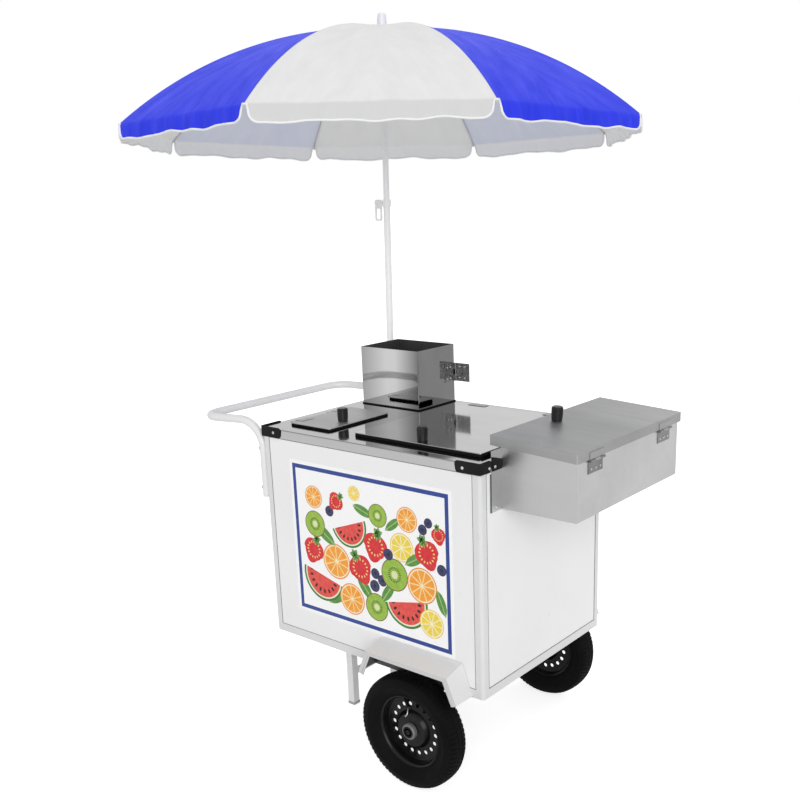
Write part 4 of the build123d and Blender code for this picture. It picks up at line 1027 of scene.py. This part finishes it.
def along_axle(radius, low, high, sides, ends="NGON"):
    """Cylinder round the Y axis from low to high."""
    return cylinder(radius, high - low, sides, (0, (low + high) / 2, 0), (pi / 2, 0, 0), ends)


offset_slack, radius_slack = 1e-5, 1e-4


def on_ring(edge, radius, offset):
    off_radius = [abs(sqrt(p.x**2 + p.z**2) - radius) for p in edge]
    return max(off_radius) < radius_slack and all(abs(p.y - offset) < offset_slack for p in edge)


def grow_ring(obj, radius, offset, steps):
    """Extrudes the open ring at a radius and offset round the Y axis through further such pairs."""
    pick(obj, "EDGE", lambda a, b: on_ring((a, b), radius, offset))
    for next_radius, next_offset in steps:
        bpy.ops.mesh.extrude_edges_move(TRANSFORM_OT_translate={"value": (0, next_offset - offset, 0)})
        share = next_radius / radius
        bpy.ops.transform.resize(value=(share, 1, share), center_override=(0, 0, 0))
        radius, offset = next_radius, next_offset


def close_rings(obj, *rings):
    """Bridges two open rings given as (radius, offset) and turns all faces outward."""
    pick(obj, "EDGE", lambda a, b: any(on_ring((a, b), *ring) for ring in rings))
    bpy.ops.mesh.bridge_edge_loops()
    turn_outward()


def mirrored_section(section):
    return [(radius, -offset) for radius, offset in section]


# %% [markdown]
# The tyre starts as a short open tube, the crown, and both its edges grow through the same section down to
# the beads, where they are bridged. The faces of the blocks are then raised along their normals.

# %% Tyre master
tyre_columns, crown_radius, crown_half = 216, 0.1665, 0.006
shoulder_radius, shoulder_groove, block_height = 0.159, 0.0115, 0.0014
tyre_section = [
    (0.1662, 0.0115), (0.1650, 0.0205), (0.1590, 0.0315), (0.1505, 0.0362), (0.1435, 0.0374),
    (0.1400, 0.0381), (0.1365, 0.0380), (0.1345, 0.0366), (0.1270, 0.0338), (0.1190, 0.0290),
    (0.1120, 0.0234), (0.1080, 0.0198), (0.1050, 0.0172), (0.1016, 0.0160),
]
other_side = mirrored_section(tyre_section)
tyre = along_axle(crown_radius, -crown_half, crown_half, tyre_columns, "NOTHING")
grow_ring(tyre, crown_radius, crown_half, tyre_section)
grow_ring(tyre, crown_radius, -crown_half, other_side)
close_rings(tyre, tyre_section[-1], other_side[-1])


def is_block(center, normal):
    column = int((atan2(center.z, center.x) % (2 * pi)) / (2 * pi / tyre_columns))
    if sqrt(center.x**2 + center.z**2) < shoulder_radius:
        return False
    if abs(center.y) < crown_half:
        return column % 3 != 0
    return abs(center.y) > shoulder_groove and column % 3 != (1 if center.y > 0 else 2)


pick(tyre, "FACE", is_block)
bpy.ops.mesh.extrude_region_shrink_fatten(TRANSFORM_OT_shrink_fatten={"value": block_height})
print("tyre blocks:", tyre_columns, "columns")

# %% [markdown]
# Rims. A small steel wheel is two pressings: a barrel whose edges roll outward to hold the bead, and a dished
# disc with a ring of holes, welded inside it. Both are rings grown through their sections; the holes are cut
# by one set of round bars, because eighteen holes made by hand would need eighteen matching patches of faces.

# %% Rim master
rim_sides, rim_holes, hole_ring, hole_radius = 96, 18, 0.074, 0.006
barrel_radius, barrel_half = 0.0975, 0.008
barrel_section = [
    (0.0980, 0.0095), (0.0990, 0.0128), (0.1008, 0.0160), (0.1030, 0.0184),
    (0.1050, 0.0193), (0.1062, 0.0189), (0.1062, 0.0182), (0.1048, 0.0177),
    (0.1030, 0.0168), (0.1012, 0.0148), (0.1009, 0.0110), (0.1008, 0.0080),
]
around = barrel_section + mirrored_section(reversed(barrel_section))
barrel = along_axle(barrel_radius, -barrel_half, barrel_half, rim_sides, "NOTHING")
grow_ring(barrel, barrel_radius, barrel_half, around)
close_rings(barrel, around[-1], (barrel_radius, -barrel_half))
disc_radius, disc_back, disc_front = 0.0976, -0.0095, -0.0045
disc_section = [
    (0.0930, -0.0062), (0.0880, -0.0065), (0.0600, -0.0065), (0.0570, -0.0050), (0.0500, 0.0076),
    (0.0475, 0.0095), (0.0182, 0.0095), (0.0182, 0.0170), (0.0110, 0.0170), (0.0110, -0.0360),
    (0.0182, -0.0360), (0.0182, 0.0065), (0.0463, 0.0065), (0.0485, 0.0052), (0.0555, -0.0077),
    (0.0590, -0.0095), (0.0880, -0.0095),
]
disc = along_axle(disc_radius, disc_back, disc_front, rim_sides, "NOTHING")
grow_ring(disc, disc_radius, disc_front, disc_section)
close_rings(disc, disc_section[-1], (disc_radius, disc_back))
bar = cylinder(hole_radius, depth=0.02, sides=20, location=(hole_ring, -0.008, 0), turn=(pi / 2, 0, 0))
turned_bars = [copy_at(bar, Matrix.Rotation(2 * pi * i / rim_holes, 4, "Y")) for i in range(1, rim_holes)]
bars = join_all([bar, *turned_bars])
add_modifier(disc, "BOOLEAN", operation="DIFFERENCE", solver="EXACT", object=bars)
remove_masters(bars)
soften(disc, width=0.0008)
rim = join_all([disc, barrel])
print("rim faces:", len(rim.data.polygons))

# %% [markdown]
# Each wheel gets its tyre and rim from the two masters. The near wheel stands half a turn about the upright
# from the far one, so the dish looks outward on both sides, and the far one is rolled on by a few degrees.

# %% Fit the wheels
axle_x, axle_height, wheel_half_track, far_roll = 0.183, 0.168, 0.341, radians(7)
wheel_spots = {
    "near": Matrix.Translation((axle_x, -wheel_half_track, axle_height)) @ Matrix.Rotation(pi, 4, "Z"),
    "far": Matrix.Translation((axle_x, wheel_half_track, axle_height)) @ Matrix.Rotation(far_roll, 4, "Y"),
}
for side, spot in wheel_spots.items():
    body = f"{side}_wheel"
    tread = settle(copy_at(tyre, spot), f"{side}_tread", tyre_rubber, body, smooth=28)
    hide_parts(f"{side}_tyre")
    pressing = settle(copy_at(rim, spot), f"{side}_pressing", rim_enamel, body, smooth=32)
    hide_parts(f"{side}_rim")
remove_masters(tyre, rim)
print("wheels fitted:", list(wheel_spots))

# %% [markdown]
# Valves and hub caps. A bent metal valve stands out of a rubber foot beside the disc, and the cap has a dark
# inlay with a raised edge and middle. The stem follows a short bent path, so it is drawn as a curve with a
# round section.

# %% Valves and cap inlays
inlay_radius, inlay_back, inlay_front = 0.0172, 0.0217, 0.0233
stem_path = [
    (0.0168, -0.004, 0.0640), (0.0120, 0.005, 0.0570), (0.0084, 0.0125, 0.0475), (0.0150, 0.0138, 0.0410),
]
root_path = [(0.0260, 0.001, 0.0935), (0.0228, 0.000, 0.0800), (0.0168, -0.004, 0.0635)]
inlay = along_axle(inlay_radius, inlay_back, inlay_front, sides=40)
pick(inlay, "FACE", lambda c, n: n.y > 0.9)
for border, lift in ((0.0045, -0.0008), (0.0050, 0.0012)):
    bpy.ops.mesh.inset(thickness=border)
    extrude(0, lift, 0)
clear_selection()
stem = tube_along("stem", stem_path, radius=0.0022, fineness=3, kind="NURBS")
root = tube_along("root", root_path, radius=0.0040, fineness=3, kind="NURBS")
for side, spot in wheel_spots.items():
    body = f"{side}_wheel"
    settle(copy_at(inlay, spot), f"{side}_cap_inlay", rim_enamel, body, smooth=30)
    settle(copy_at(stem, spot), f"{side}_valve", bolt_metal, body, smooth=40)
    settle(copy_at(root, spot), f"{side}_valve_root", tyre_rubber, body, smooth=40)
remove_masters(inlay, stem, root)
print("valves and inlays on", len(wheel_spots), "wheels")

# %% [markdown]
# Panel seals. Each painted panel sits a millimetre behind its posts with a thin dark bead of sealant round
# its edge. A flat frame is cut from one plane: inset, the middle deleted, the rest extruded to the bead's
# height. One straight bead more, a bevelled bar, runs down the near edge of the side box's flange: a dark
# bead that is partly sealant and partly painted shade, standing for the shadow in the gap under the flange.

# %% Panel seals
def square_ring(wide, tall, wall, rise, place):
    """Square tube on the ground, centred on the origin and drawn up by rise, then moved by a matrix."""
    clear_selection()
    bpy.ops.mesh.primitive_plane_add(size=1)
    bpy.context.object.scale = (wide, tall, 1)
    ring = fix_place()
    edit_all(ring)
    bpy.ops.mesh.inset(thickness=wall, use_even_offset=True)
    bpy.ops.mesh.delete(type="FACE")
    bpy.ops.mesh.select_all(action="SELECT")
    extrude(0, 0, rise)
    turn_outward()
    clear_selection()
    ring.data.transform(place)
    return ring


def bevelled_bar(size, location, tilt, edge):
    clear_selection()
    bpy.ops.mesh.primitive_cube_add(size=1, location=location, rotation=(0, tilt, 0))
    bpy.context.object.scale = size
    bar = fix_place()
    soften(bar, edge)
    return bar


stand_up = Matrix.Rotation(pi / 2, 4, "X")
panel_low, panel_high, bead_height = 0.331, 0.9284, 0.0005
panel_tall, panel_middle = panel_high - panel_low, (panel_low + panel_high) / 2
long_half, short_half = 0.3744, 0.2744
long_face, short_face = 0.299, 0.399
long_bead = square_ring(2 * long_half, panel_tall, wall=0.0013, rise=bead_height, place=stand_up)
short_bead = square_ring(2 * short_half, panel_tall, wall=0.0018, rise=bead_height, place=stand_up)
for name, master, turn, away in (
    ("front_panel_seal", long_bead, 0, long_face), ("back_panel_seal", long_bead, pi, long_face),
    ("box_end_seal", short_bead, pi / 2, short_face), ("handle_end_seal", short_bead, -pi / 2, short_face),
):
    middle = Matrix.Translation((0, 0, panel_middle)) @ Matrix.Rotation(turn, 4, "Z")
    spot = middle @ Matrix.Translation((0, -away, 0))
    settle(copy_at(master, spot), name, bead_grey, "cart", smooth=0)
remove_masters(long_bead, short_bead)
# Dark bar: partly a sealant bead, partly painted shade for the gap under the flange.
flange_bead_and_shade = bevelled_bar((0.0024, 0.0044, 0.103), location=(0.4002, -0.2552, 0.8705), tilt=0, edge=0.0007)
settle(flange_bead_and_shade, "flange_bead_and_shade", bead_grey, "cart", smooth=30)
print("panel seals: 4, and a bead beside the box's flange")

# %% [markdown]
# Holder strip, foot sleeves and gaskets. A black rubber strip lies round the foot of the cup holder, each leg
# ends in a plastic sleeve, and a thin gasket lies round the flange of each tub. All are square rings whose
# outside stands a margin off what they go round.

# %% Square rings
def ring_round(low, high, margin, wall, base, rise):
    """Square ring round the upright, a margin outside the corners low and high."""
    middle = Matrix.Translation(((low[0] + high[0]) / 2, (low[1] + high[1]) / 2, base))
    return square_ring(high[0] - low[0] + 2 * margin, high[1] - low[1] + 2 * margin, wall, rise, middle)


counter_level = holder_low[2]
holder_end = (-0.134, holder_high[1])
leg_x, leg_half_gap, sleeve_half = -0.2755, 0.1045, 0.0138
strip = ring_round(holder_low, holder_end, margin=0.0016, wall=0.0015, base=counter_level, rise=0.0038)
soften(strip, width=0.0006)
settle(strip, "holder_strip", seal_rubber, "cart", smooth=30)
for side, y in (("near", -leg_half_gap), ("far", leg_half_gap)):
    sleeve = ring_round((leg_x, y), (leg_x, y), sleeve_half, wall=0.0012, base=0.0006, rise=0.009)
    soften(sleeve, width=0.0005)
    settle(sleeve, f"{side}_foot_sleeve", foot_plastic, "cart", smooth=30)
for tub in ("small_tub", "large_tub"):
    gasket = ring_round(*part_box(tub), margin=0.0008, wall=0.0010, base=counter_level + 0.0001, rise=0.0011)
    select_only(gasket)
    pick(gasket, "EDGE", lambda a, b: abs(a.z - b.z) > 0.0005)
    bpy.ops.mesh.bevel(offset=0.0006, segments=2)
    settle(gasket, f"{tub}_gasket", seal_rubber, "cart", smooth=30)
print("square rings: 5, holder strip at", round(counter_level, 3))

# %% [markdown]
# Fender lips. The flaps of a fender are stiffened by a wider lip than its top, so a flat strip lies behind
# each lip and stands a few millimetres further in. It is one bevelled bar along a flap's slope; half a turn
# about the middle of the fender brings it to the other flap, and a shift brings the pair to the other side.

# %% Fender lips
lip_plane, lip_tilt = 0.3708, radians(-23.6)
lip_bar = bevelled_bar((0.010, 0.0012, 0.0713), (0.3354, -lip_plane, 0.3361), lip_tilt, edge=0.0004)
half_turn = Matrix.Translation((2 * fender_middle, -2 * lip_plane, 0)) @ Matrix.Rotation(pi, 4, "Z")
for side, shift in (("near", 0.0), ("far", 2 * lip_plane)):
    there = Matrix.Translation((0, shift, 0))
    lips = join_all([copy_at(lip_bar, there), copy_at(lip_bar, there @ half_turn)])
    settle(lips, f"{side}_fender_lips", fender_coat, "cart", smooth=30)
remove_masters(lip_bar)
print("fender lips: 4 strips")

# %% [markdown]
# Fasteners. Brackets, flange and hinge leaves are held by button screws with a socket in the head, and the
# handle by hexagon bolts that go through its tube. Each kind is modelled once, standing on the floor of its
# own little frame.

# %% Screw and bolt masters
screw = cylinder(radius=0.0044, depth=0.0022, sides=24, location=(0, 0, 0.0011))
pick(screw, "EDGE", lambda a, b: min(a.z, b.z) > 0.0021)
bpy.ops.mesh.bevel(offset=0.0011, segments=3)
pick(screw, "FACE", lambda c, n: n.z > 0.99)
bpy.ops.mesh.inset(thickness=0.0012)
extrude(0, 0, -0.0013)
bolt = cylinder(radius=0.0066, depth=0.0045, sides=6, location=(0, 0, 0.0037))
pick(bolt, "FACE", lambda c, n: n.z > 0.99)
bpy.ops.mesh.inset(thickness=0.0012)
bpy.ops.transform.translate(value=(0, 0, 0.0008))
pick(bolt, "FACE", lambda c, n: n.z < -0.99)
extrude(0, 0, -0.0006)
bpy.ops.transform.resize(value=(1.25, 1.25, 1), center_override=(0, 0, 0.0010))
extrude(0, 0, -0.0030)
clear_selection()
small_screw = copy_at(screw, Matrix.Scale(0.72, 4))
print("screw faces:", len(screw.data.polygons), "bolt faces:", len(bolt.data.polygons))

# %% [markdown]
# The copies go to their places in groups, one piece for each group, and every head is turned a little further
# than the one before, because no two screws stop at the same turn.

# %% Fasteners
def facing(point, normal, turn):
    """Matrix that stands a piece modelled along +Z at a point with its top toward normal."""
    spin = Vector(normal).normalized().to_track_quat("Z", "Y").to_matrix().to_4x4()
    return Matrix.Translation(Vector(point)) @ spin @ Matrix.Rotation(turn, 4, "Z")


def place_heads(name, master, spots, twist, body="cart"):
    heads = join_all([copy_at(master, facing(*spot, twist * i)) for i, spot in enumerate(spots)])
    settle(heads, name, bolt_metal, body, smooth=30)


to_box, to_handle, to_front, to_back = (1, 0, 0), (-1, 0, 0), (0, -1, 0), (0, 1, 0)
leaf_levels = (1.034, 1.070)
bracket_screws = [
    ((-0.3496, -0.303, 0.9443), to_front), ((0.3475, -0.303, 0.9425), to_front),
    ((0.403, -0.2650, 0.9400), to_box), ((0.4042, -0.2420, 0.9400), to_box),
    ((0.4012, -0.2340, 0.8300), to_box), ((-0.3496, 0.303, 0.9443), to_back),
    ((-0.403, -0.2500, 0.9443), to_handle), ((-0.403, 0.2500, 0.9443), to_handle),
]
handle_bolts = [((-0.4280, y, z), to_handle) for y in (-0.286, 0.286) for z in (0.883, 0.761)]
leaf_screws = [((0.6246, y + shift, 0.9440), to_box) for y in (-0.122, 0.245) for shift in (-0.022, 0, 0.022)]
leaf_screws += [((-0.1324, y, z), to_box) for y in (0.252, 0.268) for z in leaf_levels]
loose_screws = [((x, 0.2900, z), to_front) for x in (-0.112, -0.092) for z in leaf_levels]
place_heads("bracket_screws", screw, bracket_screws, twist=0.4)
place_heads("handle_bolts", bolt, handle_bolts, twist=0.3)
place_heads("leaf_screws", small_screw, leaf_screws, twist=0.5)
place_heads("loose_leaf_screws", small_screw, loose_screws, twist=0.7, body="loose_leaf_body")
remove_masters(screw, small_screw, bolt)
print("screws", len(bracket_screws) + len(leaf_screws) + len(loose_screws), "bolts", len(handle_bolts))

# %% [markdown]
# Poster finishes. The front panel carries a printed sheet with a blue border and a loose scatter of cut
# fruit. Print could be an image, but a drawn pattern stays sharp at any size: one node group turns a motif's
# own UV map, where the motif has radius one, into masks for rind, pith, the walls between cells, the core and
# a ring of seeds.

# %% Fruit slice group
seed_half_width, seed_half_length = 0.22, 0.09
slices, slices_in, slices_out = new_group(
    "fruit_slice",
    [("Rind", 0.93), ("Pith", 0.85), ("Cells", 10.0), ("Wall", 0.035), ("Core", 0.10), ("Seed Ring", 0.42)],
    ["Rind", "Pith", "Wall", "Core", "Seed"],
)
print_map = slices.nodes.new("ShaderNodeUVMap")
print_map.uv_map = "print"
print_place = print_map.outputs[0]
length = slices.nodes.new("ShaderNodeVectorMath")
length.operation = "LENGTH"
feed(slices, length.inputs[0], print_place)
radius = length.outputs["Value"]
angle = sums(slices, "ARCTAN2", axis_of(slices, print_place, "Y"), axis_of(slices, print_place, "X"))
turns = sums(slices, "MULTIPLY", angle, 1 / (2 * pi))
cell = sums(slices, "FRACT", sums(slices, "MULTIPLY", turns, slices_in["Cells"]))
off_middle = sums(slices, "ABSOLUTE", sums(slices, "SUBTRACT", cell, 0.5))
circle = sums(slices, "MULTIPLY", radius, 2 * pi)
to_wall = sums(slices, "MULTIPLY", sums(slices, "SUBTRACT", 0.5, off_middle), circle)
to_wall = sums(slices, "DIVIDE", to_wall, slices_in["Cells"])
seed_across = sums(slices, "POWER", sums(slices, "DIVIDE", off_middle, seed_half_width), 2.0)
off_ring = sums(slices, "DIVIDE", sums(slices, "SUBTRACT", radius, slices_in["Seed Ring"]), seed_half_length)
seed_along = sums(slices, "POWER", sums(slices, "ABSOLUTE", off_ring), 2.0)
in_seed = sums(slices, "LESS_THAN", sums(slices, "ADD", seed_across, seed_along), 1.0)
feed(slices, slices_out["Seed"], in_seed)
feed(slices, slices_out["Wall"], sums(slices, "LESS_THAN", to_wall, slices_in["Wall"]))
feed(slices, slices_out["Core"], sums(slices, "LESS_THAN", radius, slices_in["Core"]))
for label in ("Rind", "Pith"):
    feed(slices, slices_out[label], sums(slices, "GREATER_THAN", radius, slices_in[label]))
print("group:", slices.name)

# %% [markdown]
# Printing inks. Each fruit is a short chain of tints over those masks, from the flesh outward to the rind,
# with a cloudy flesh so that no slice is one flat colour. The paper itself is coated and a little glossier
# than the panel.

# %% Printing inks
def fruit_ink(name, flesh, deep, inks, **values):
    finish, tree, shader = new_finish(name, specular=0.4)
    masks = place_group(tree, slices, **values)
    marks = place_group(tree, skin, Grain_Scale=1500.0, Cloud_Scale=70.0)
    colour = tint(tree, ramp(tree, marks["Cloud"], 0.3, 0.7), flesh, deep)
    for label, ink in inks.items():
        colour = tint(tree, masks[label], colour, ink)
    feed(tree, shader["Base Color"], colour)
    feed(tree, shader["Roughness"], ramp(tree, marks["Grain"], 0.3, 0.7, 0.30, 0.42))
    return finish


inks = {
    "orange": fruit_ink("orange_ink", (0.90, 0.30, 0.02), (0.95, 0.42, 0.05), {
        "Wall": (0.95, 0.72, 0.36), "Core": (0.95, 0.82, 0.55),
        "Pith": (0.95, 0.84, 0.58), "Rind": (0.86, 0.26, 0.01),
    }),
    "lemon": fruit_ink("lemon_ink", (0.90, 0.72, 0.10), (0.86, 0.62, 0.05), {
        "Wall": (0.95, 0.90, 0.60), "Core": (0.95, 0.92, 0.70),
        "Pith": (0.95, 0.92, 0.72), "Rind": (0.88, 0.60, 0.02),
    }, Cells=9.0),
    "kiwi": fruit_ink("kiwi_ink", (0.26, 0.46, 0.04), (0.36, 0.55, 0.08), {
        "Seed": (0.012, 0.010, 0.008), "Core": (0.74, 0.78, 0.45), "Rind": (0.17, 0.09, 0.03),
    }, Rind=0.94, Cells=22.0, Core=0.24),
    "dark_berry": fruit_ink("dark_berry_ink", (0.022, 0.024, 0.085), (0.05, 0.055, 0.15), {
        "Core": (0.010, 0.010, 0.03), "Rind": (0.012, 0.012, 0.05),
    }, Core=0.30),
    "melon": fruit_ink("melon_ink", (0.72, 0.05, 0.05), (0.82, 0.11, 0.08), {
        "Seed": (0.02, 0.008, 0.006), "Pith": (0.78, 0.86, 0.62), "Rind": (0.04, 0.20, 0.03),
    }, Rind=0.91, Cells=17.0, Seed_Ring=0.62),
    "berry": fruit_ink("berry_ink", (0.62, 0.012, 0.02), (0.76, 0.04, 0.05), {
        "Seed": (0.90, 0.62, 0.22),
    }, Cells=15.0, Seed_Ring=0.60),
    "leaf": fruit_ink("leaf_ink", (0.07, 0.24, 0.03), (0.13, 0.34, 0.06), {
        "Wall": (0.36, 0.52, 0.20),
    }, Cells=2.0, Wall=0.05),
}
border_ink = plastic(
    "border_ink", [(0.020, 0.056, 0.30), (0.016, 0.047, 0.26)], rough=(0.28, 0.38), grain=900.0
)
poster_paper = white_paint(
    "poster_paper", [grey(0.985), grey(0.97)], grey(0.9),
    rough=(0.24, 0.32), peel=600.0, dust_share=0.0, coat=0.25,
)
print("inks:", list(inks), border_ink.name, "on", poster_paper.name)

# %% [markdown]
# Motifs. Every motif starts as a flat disc of radius one that faces the viewer and is shaped in edit mode: a
# melon wedge is a disc bisected, a leaf a disc squeezed and drawn to two points, a strawberry a disc pulled
# in below. The corners are then written to the UV map, so the inks know where they are.

# %% Motif masters
def disc_motif(name):
    clear_selection()
    bpy.ops.mesh.primitive_circle_add(vertices=40, radius=1, fill_type="NGON", rotation=(pi / 2, 0, 0))
    motif = fix_place()
    motif.data.materials.append(inks[name])
    edit_all(motif)
    bpy.ops.mesh.inset(thickness=0.06)
    return motif


def squeeze(motif, test, size):
    pick(motif, "EDGE", lambda a, b: test(a) and test(b))
    bpy.ops.transform.resize(value=size, center_override=(0, 0, 0))


def write_print(motif):
    clear_selection()
    layer = motif.data.uv_layers.new(name="print")
    for loop in motif.data.loops:
        corner = motif.data.vertices[loop.vertex_index].co
        layer.data[loop.index].uv = (corner.x, corner.z)


motifs = {}
for name in inks:
    motif = disc_motif(name)
    if name == "melon":
        bpy.ops.mesh.select_all(action="SELECT")
        bpy.ops.mesh.bisect(plane_co=(0, 0, 0), plane_no=(0, 0, 1), clear_outer=True)
    elif name == "berry":
        squeeze(motif, lambda p: p.z < -0.20, (0.86, 1, 1.08))
        squeeze(motif, lambda p: p.z < -0.60, (0.80, 1, 1.06))
        squeeze(motif, lambda p: p.z > 0.55, (1.06, 1, 0.86))
    elif name == "leaf":
        squeeze(motif, lambda p: True, (1, 1, 0.42))
        squeeze(motif, lambda p: p.x > 0.88, (1.20, 1, 0.35))
        squeeze(motif, lambda p: p.x < -0.92, (1.12, 1, 0.35))
    write_print(motif)
    motifs[name] = motif
print("motifs:", sorted(motifs))

# %% [markdown]
# The sheet is a thin plate with its border laid on as a flat frame. Both lie a few tenths of a millimetre in
# front of the panel.

# %% Poster sheet
paper_left, paper_right, paper_low, paper_high = -0.293, 0.307, 0.4005, 0.874
paper_back, paper_thickness, border_back = -0.2991, 0.0003, -0.2994
paper_middle = ((paper_left + paper_right) / 2, paper_back, (paper_low + paper_high) / 2)
clear_selection()
bpy.ops.mesh.primitive_plane_add(size=1, rotation=(pi / 2, 0, 0), location=paper_middle)
bpy.context.object.scale = (paper_right - paper_left, paper_high - paper_low, 1)
paper = fix_place()
edit_all(paper)
bpy.ops.mesh.subdivide(number_cuts=6)
extrude(0, -paper_thickness, 0)
turn_outward()
settle(paper, "poster_sheet", poster_paper, "cart", smooth=0)
border_spot = Matrix.Translation((0.007, border_back, 0.637)) @ stand_up
border = square_ring(wide=0.578, tall=0.452, wall=0.0122, rise=0.0002, place=border_spot)
settle(border, "poster_border", border_ink, "cart", smooth=0)
print("poster", round(paper_right - paper_left, 3), "by", round(paper_high - paper_low, 4))

# %% [markdown]
# Layout. The fruit lies scattered over the sheet, larger below and smaller above, each motif a hair in front
# of the one before so that overlaps print cleanly. A row gives the motif, its place from the border's lower
# left corner and its radius in millimetres, and its turn. A strawberry gets three leaves for a crown.

# %% Lay out the poster
layout = [
    ("leaf", 152, 62, 44, 2.5), ("melon", 92, 112, 80, 0.25), ("orange", 205, 64, 48, 0.2),
    ("leaf", 258, 112, 40, 0.9), ("kiwi", 300, 62, 42, 0.5), ("melon", 410, 104, 78, -0.22),
    ("lemon", 500, 62, 42, 0.1), ("leaf", 345, 118, 36, 2.2), ("berry", 58, 186, 40, 0.4),
    ("orange", 150, 168, 54, 0.9), ("berry", 243, 168, 44, -0.5), ("dark_berry", 296, 126, 18, 0),
    ("dark_berry", 326, 148, 17, 0), ("dark_berry", 300, 164, 16, 0), ("kiwi", 372, 176, 48, 0.3),
    ("orange", 470, 166, 52, 0.6), ("leaf", 536, 130, 34, 1.2), ("leaf", 108, 244, 42, 0.6),
    ("kiwi", 70, 268, 40, 0.2), ("melon", 205, 290, 68, -0.35), ("berry", 305, 246, 44, 0.25),
    ("lemon", 402, 262, 42, 0.4), ("dark_berry", 352, 232, 17, 0), ("leaf", 448, 236, 36, 2.6),
    ("berry", 490, 262, 42, -0.4), ("dark_berry", 540, 226, 16, 0), ("dark_berry", 132, 318, 16, 0),
    ("orange", 70, 350, 34, 0.3), ("berry", 160, 352, 28, 0.8), ("leaf", 262, 342, 34, 0.3),
    ("kiwi", 318, 338, 34, 0.1), ("leaf", 372, 322, 30, 2.5), ("orange", 424, 346, 36, 0.5),
    ("dark_berry", 478, 328, 15, 0), ("dark_berry", 498, 350, 14, 0), ("berry", 532, 322, 24, -0.2),
    ("lemon", 232, 388, 22, 0.2),
]
print_left, print_low, print_face, print_step = -0.2715, 0.4215, -0.29945, 0.000012
crown_rise, crown_tilts, leaf_share = 0.9, (-0.9, 0.0, 0.9), 1 / 2.4


def print_motif(name, place, size):
    return copy_at(motifs[name], place @ Matrix.Diagonal((size, 1, size, 1)))


prints = []
for order, (name, x, z, size, turn) in enumerate(layout):
    spot = Vector((print_left + x / 1000, print_face - order * print_step, print_low + z / 1000))
    place = Matrix.Translation(spot) @ Matrix.Rotation(turn, 4, "Y")
    prints.append(print_motif(name, place, size / 1000))
    if name == "berry":
        crown = place @ Matrix.Translation((0, -print_step / 2, crown_rise * size / 1000))
        for tilt in crown_tilts:
            leaf_place = crown @ Matrix.Rotation(tilt + pi / 2, 4, "Y")
            prints.append(print_motif("leaf", leaf_place, leaf_share * size / 1000))
settle(join_all(prints), "poster_print", None, "cart", smooth=0)
remove_masters(*motifs.values())
print("poster motifs:", len(prints))

# %% [markdown]
# Size: the box of the dressed cart, with the floor left out.

# %% Finish
low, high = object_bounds()
print("dressed box", [round(x, 3) for x in high - low])
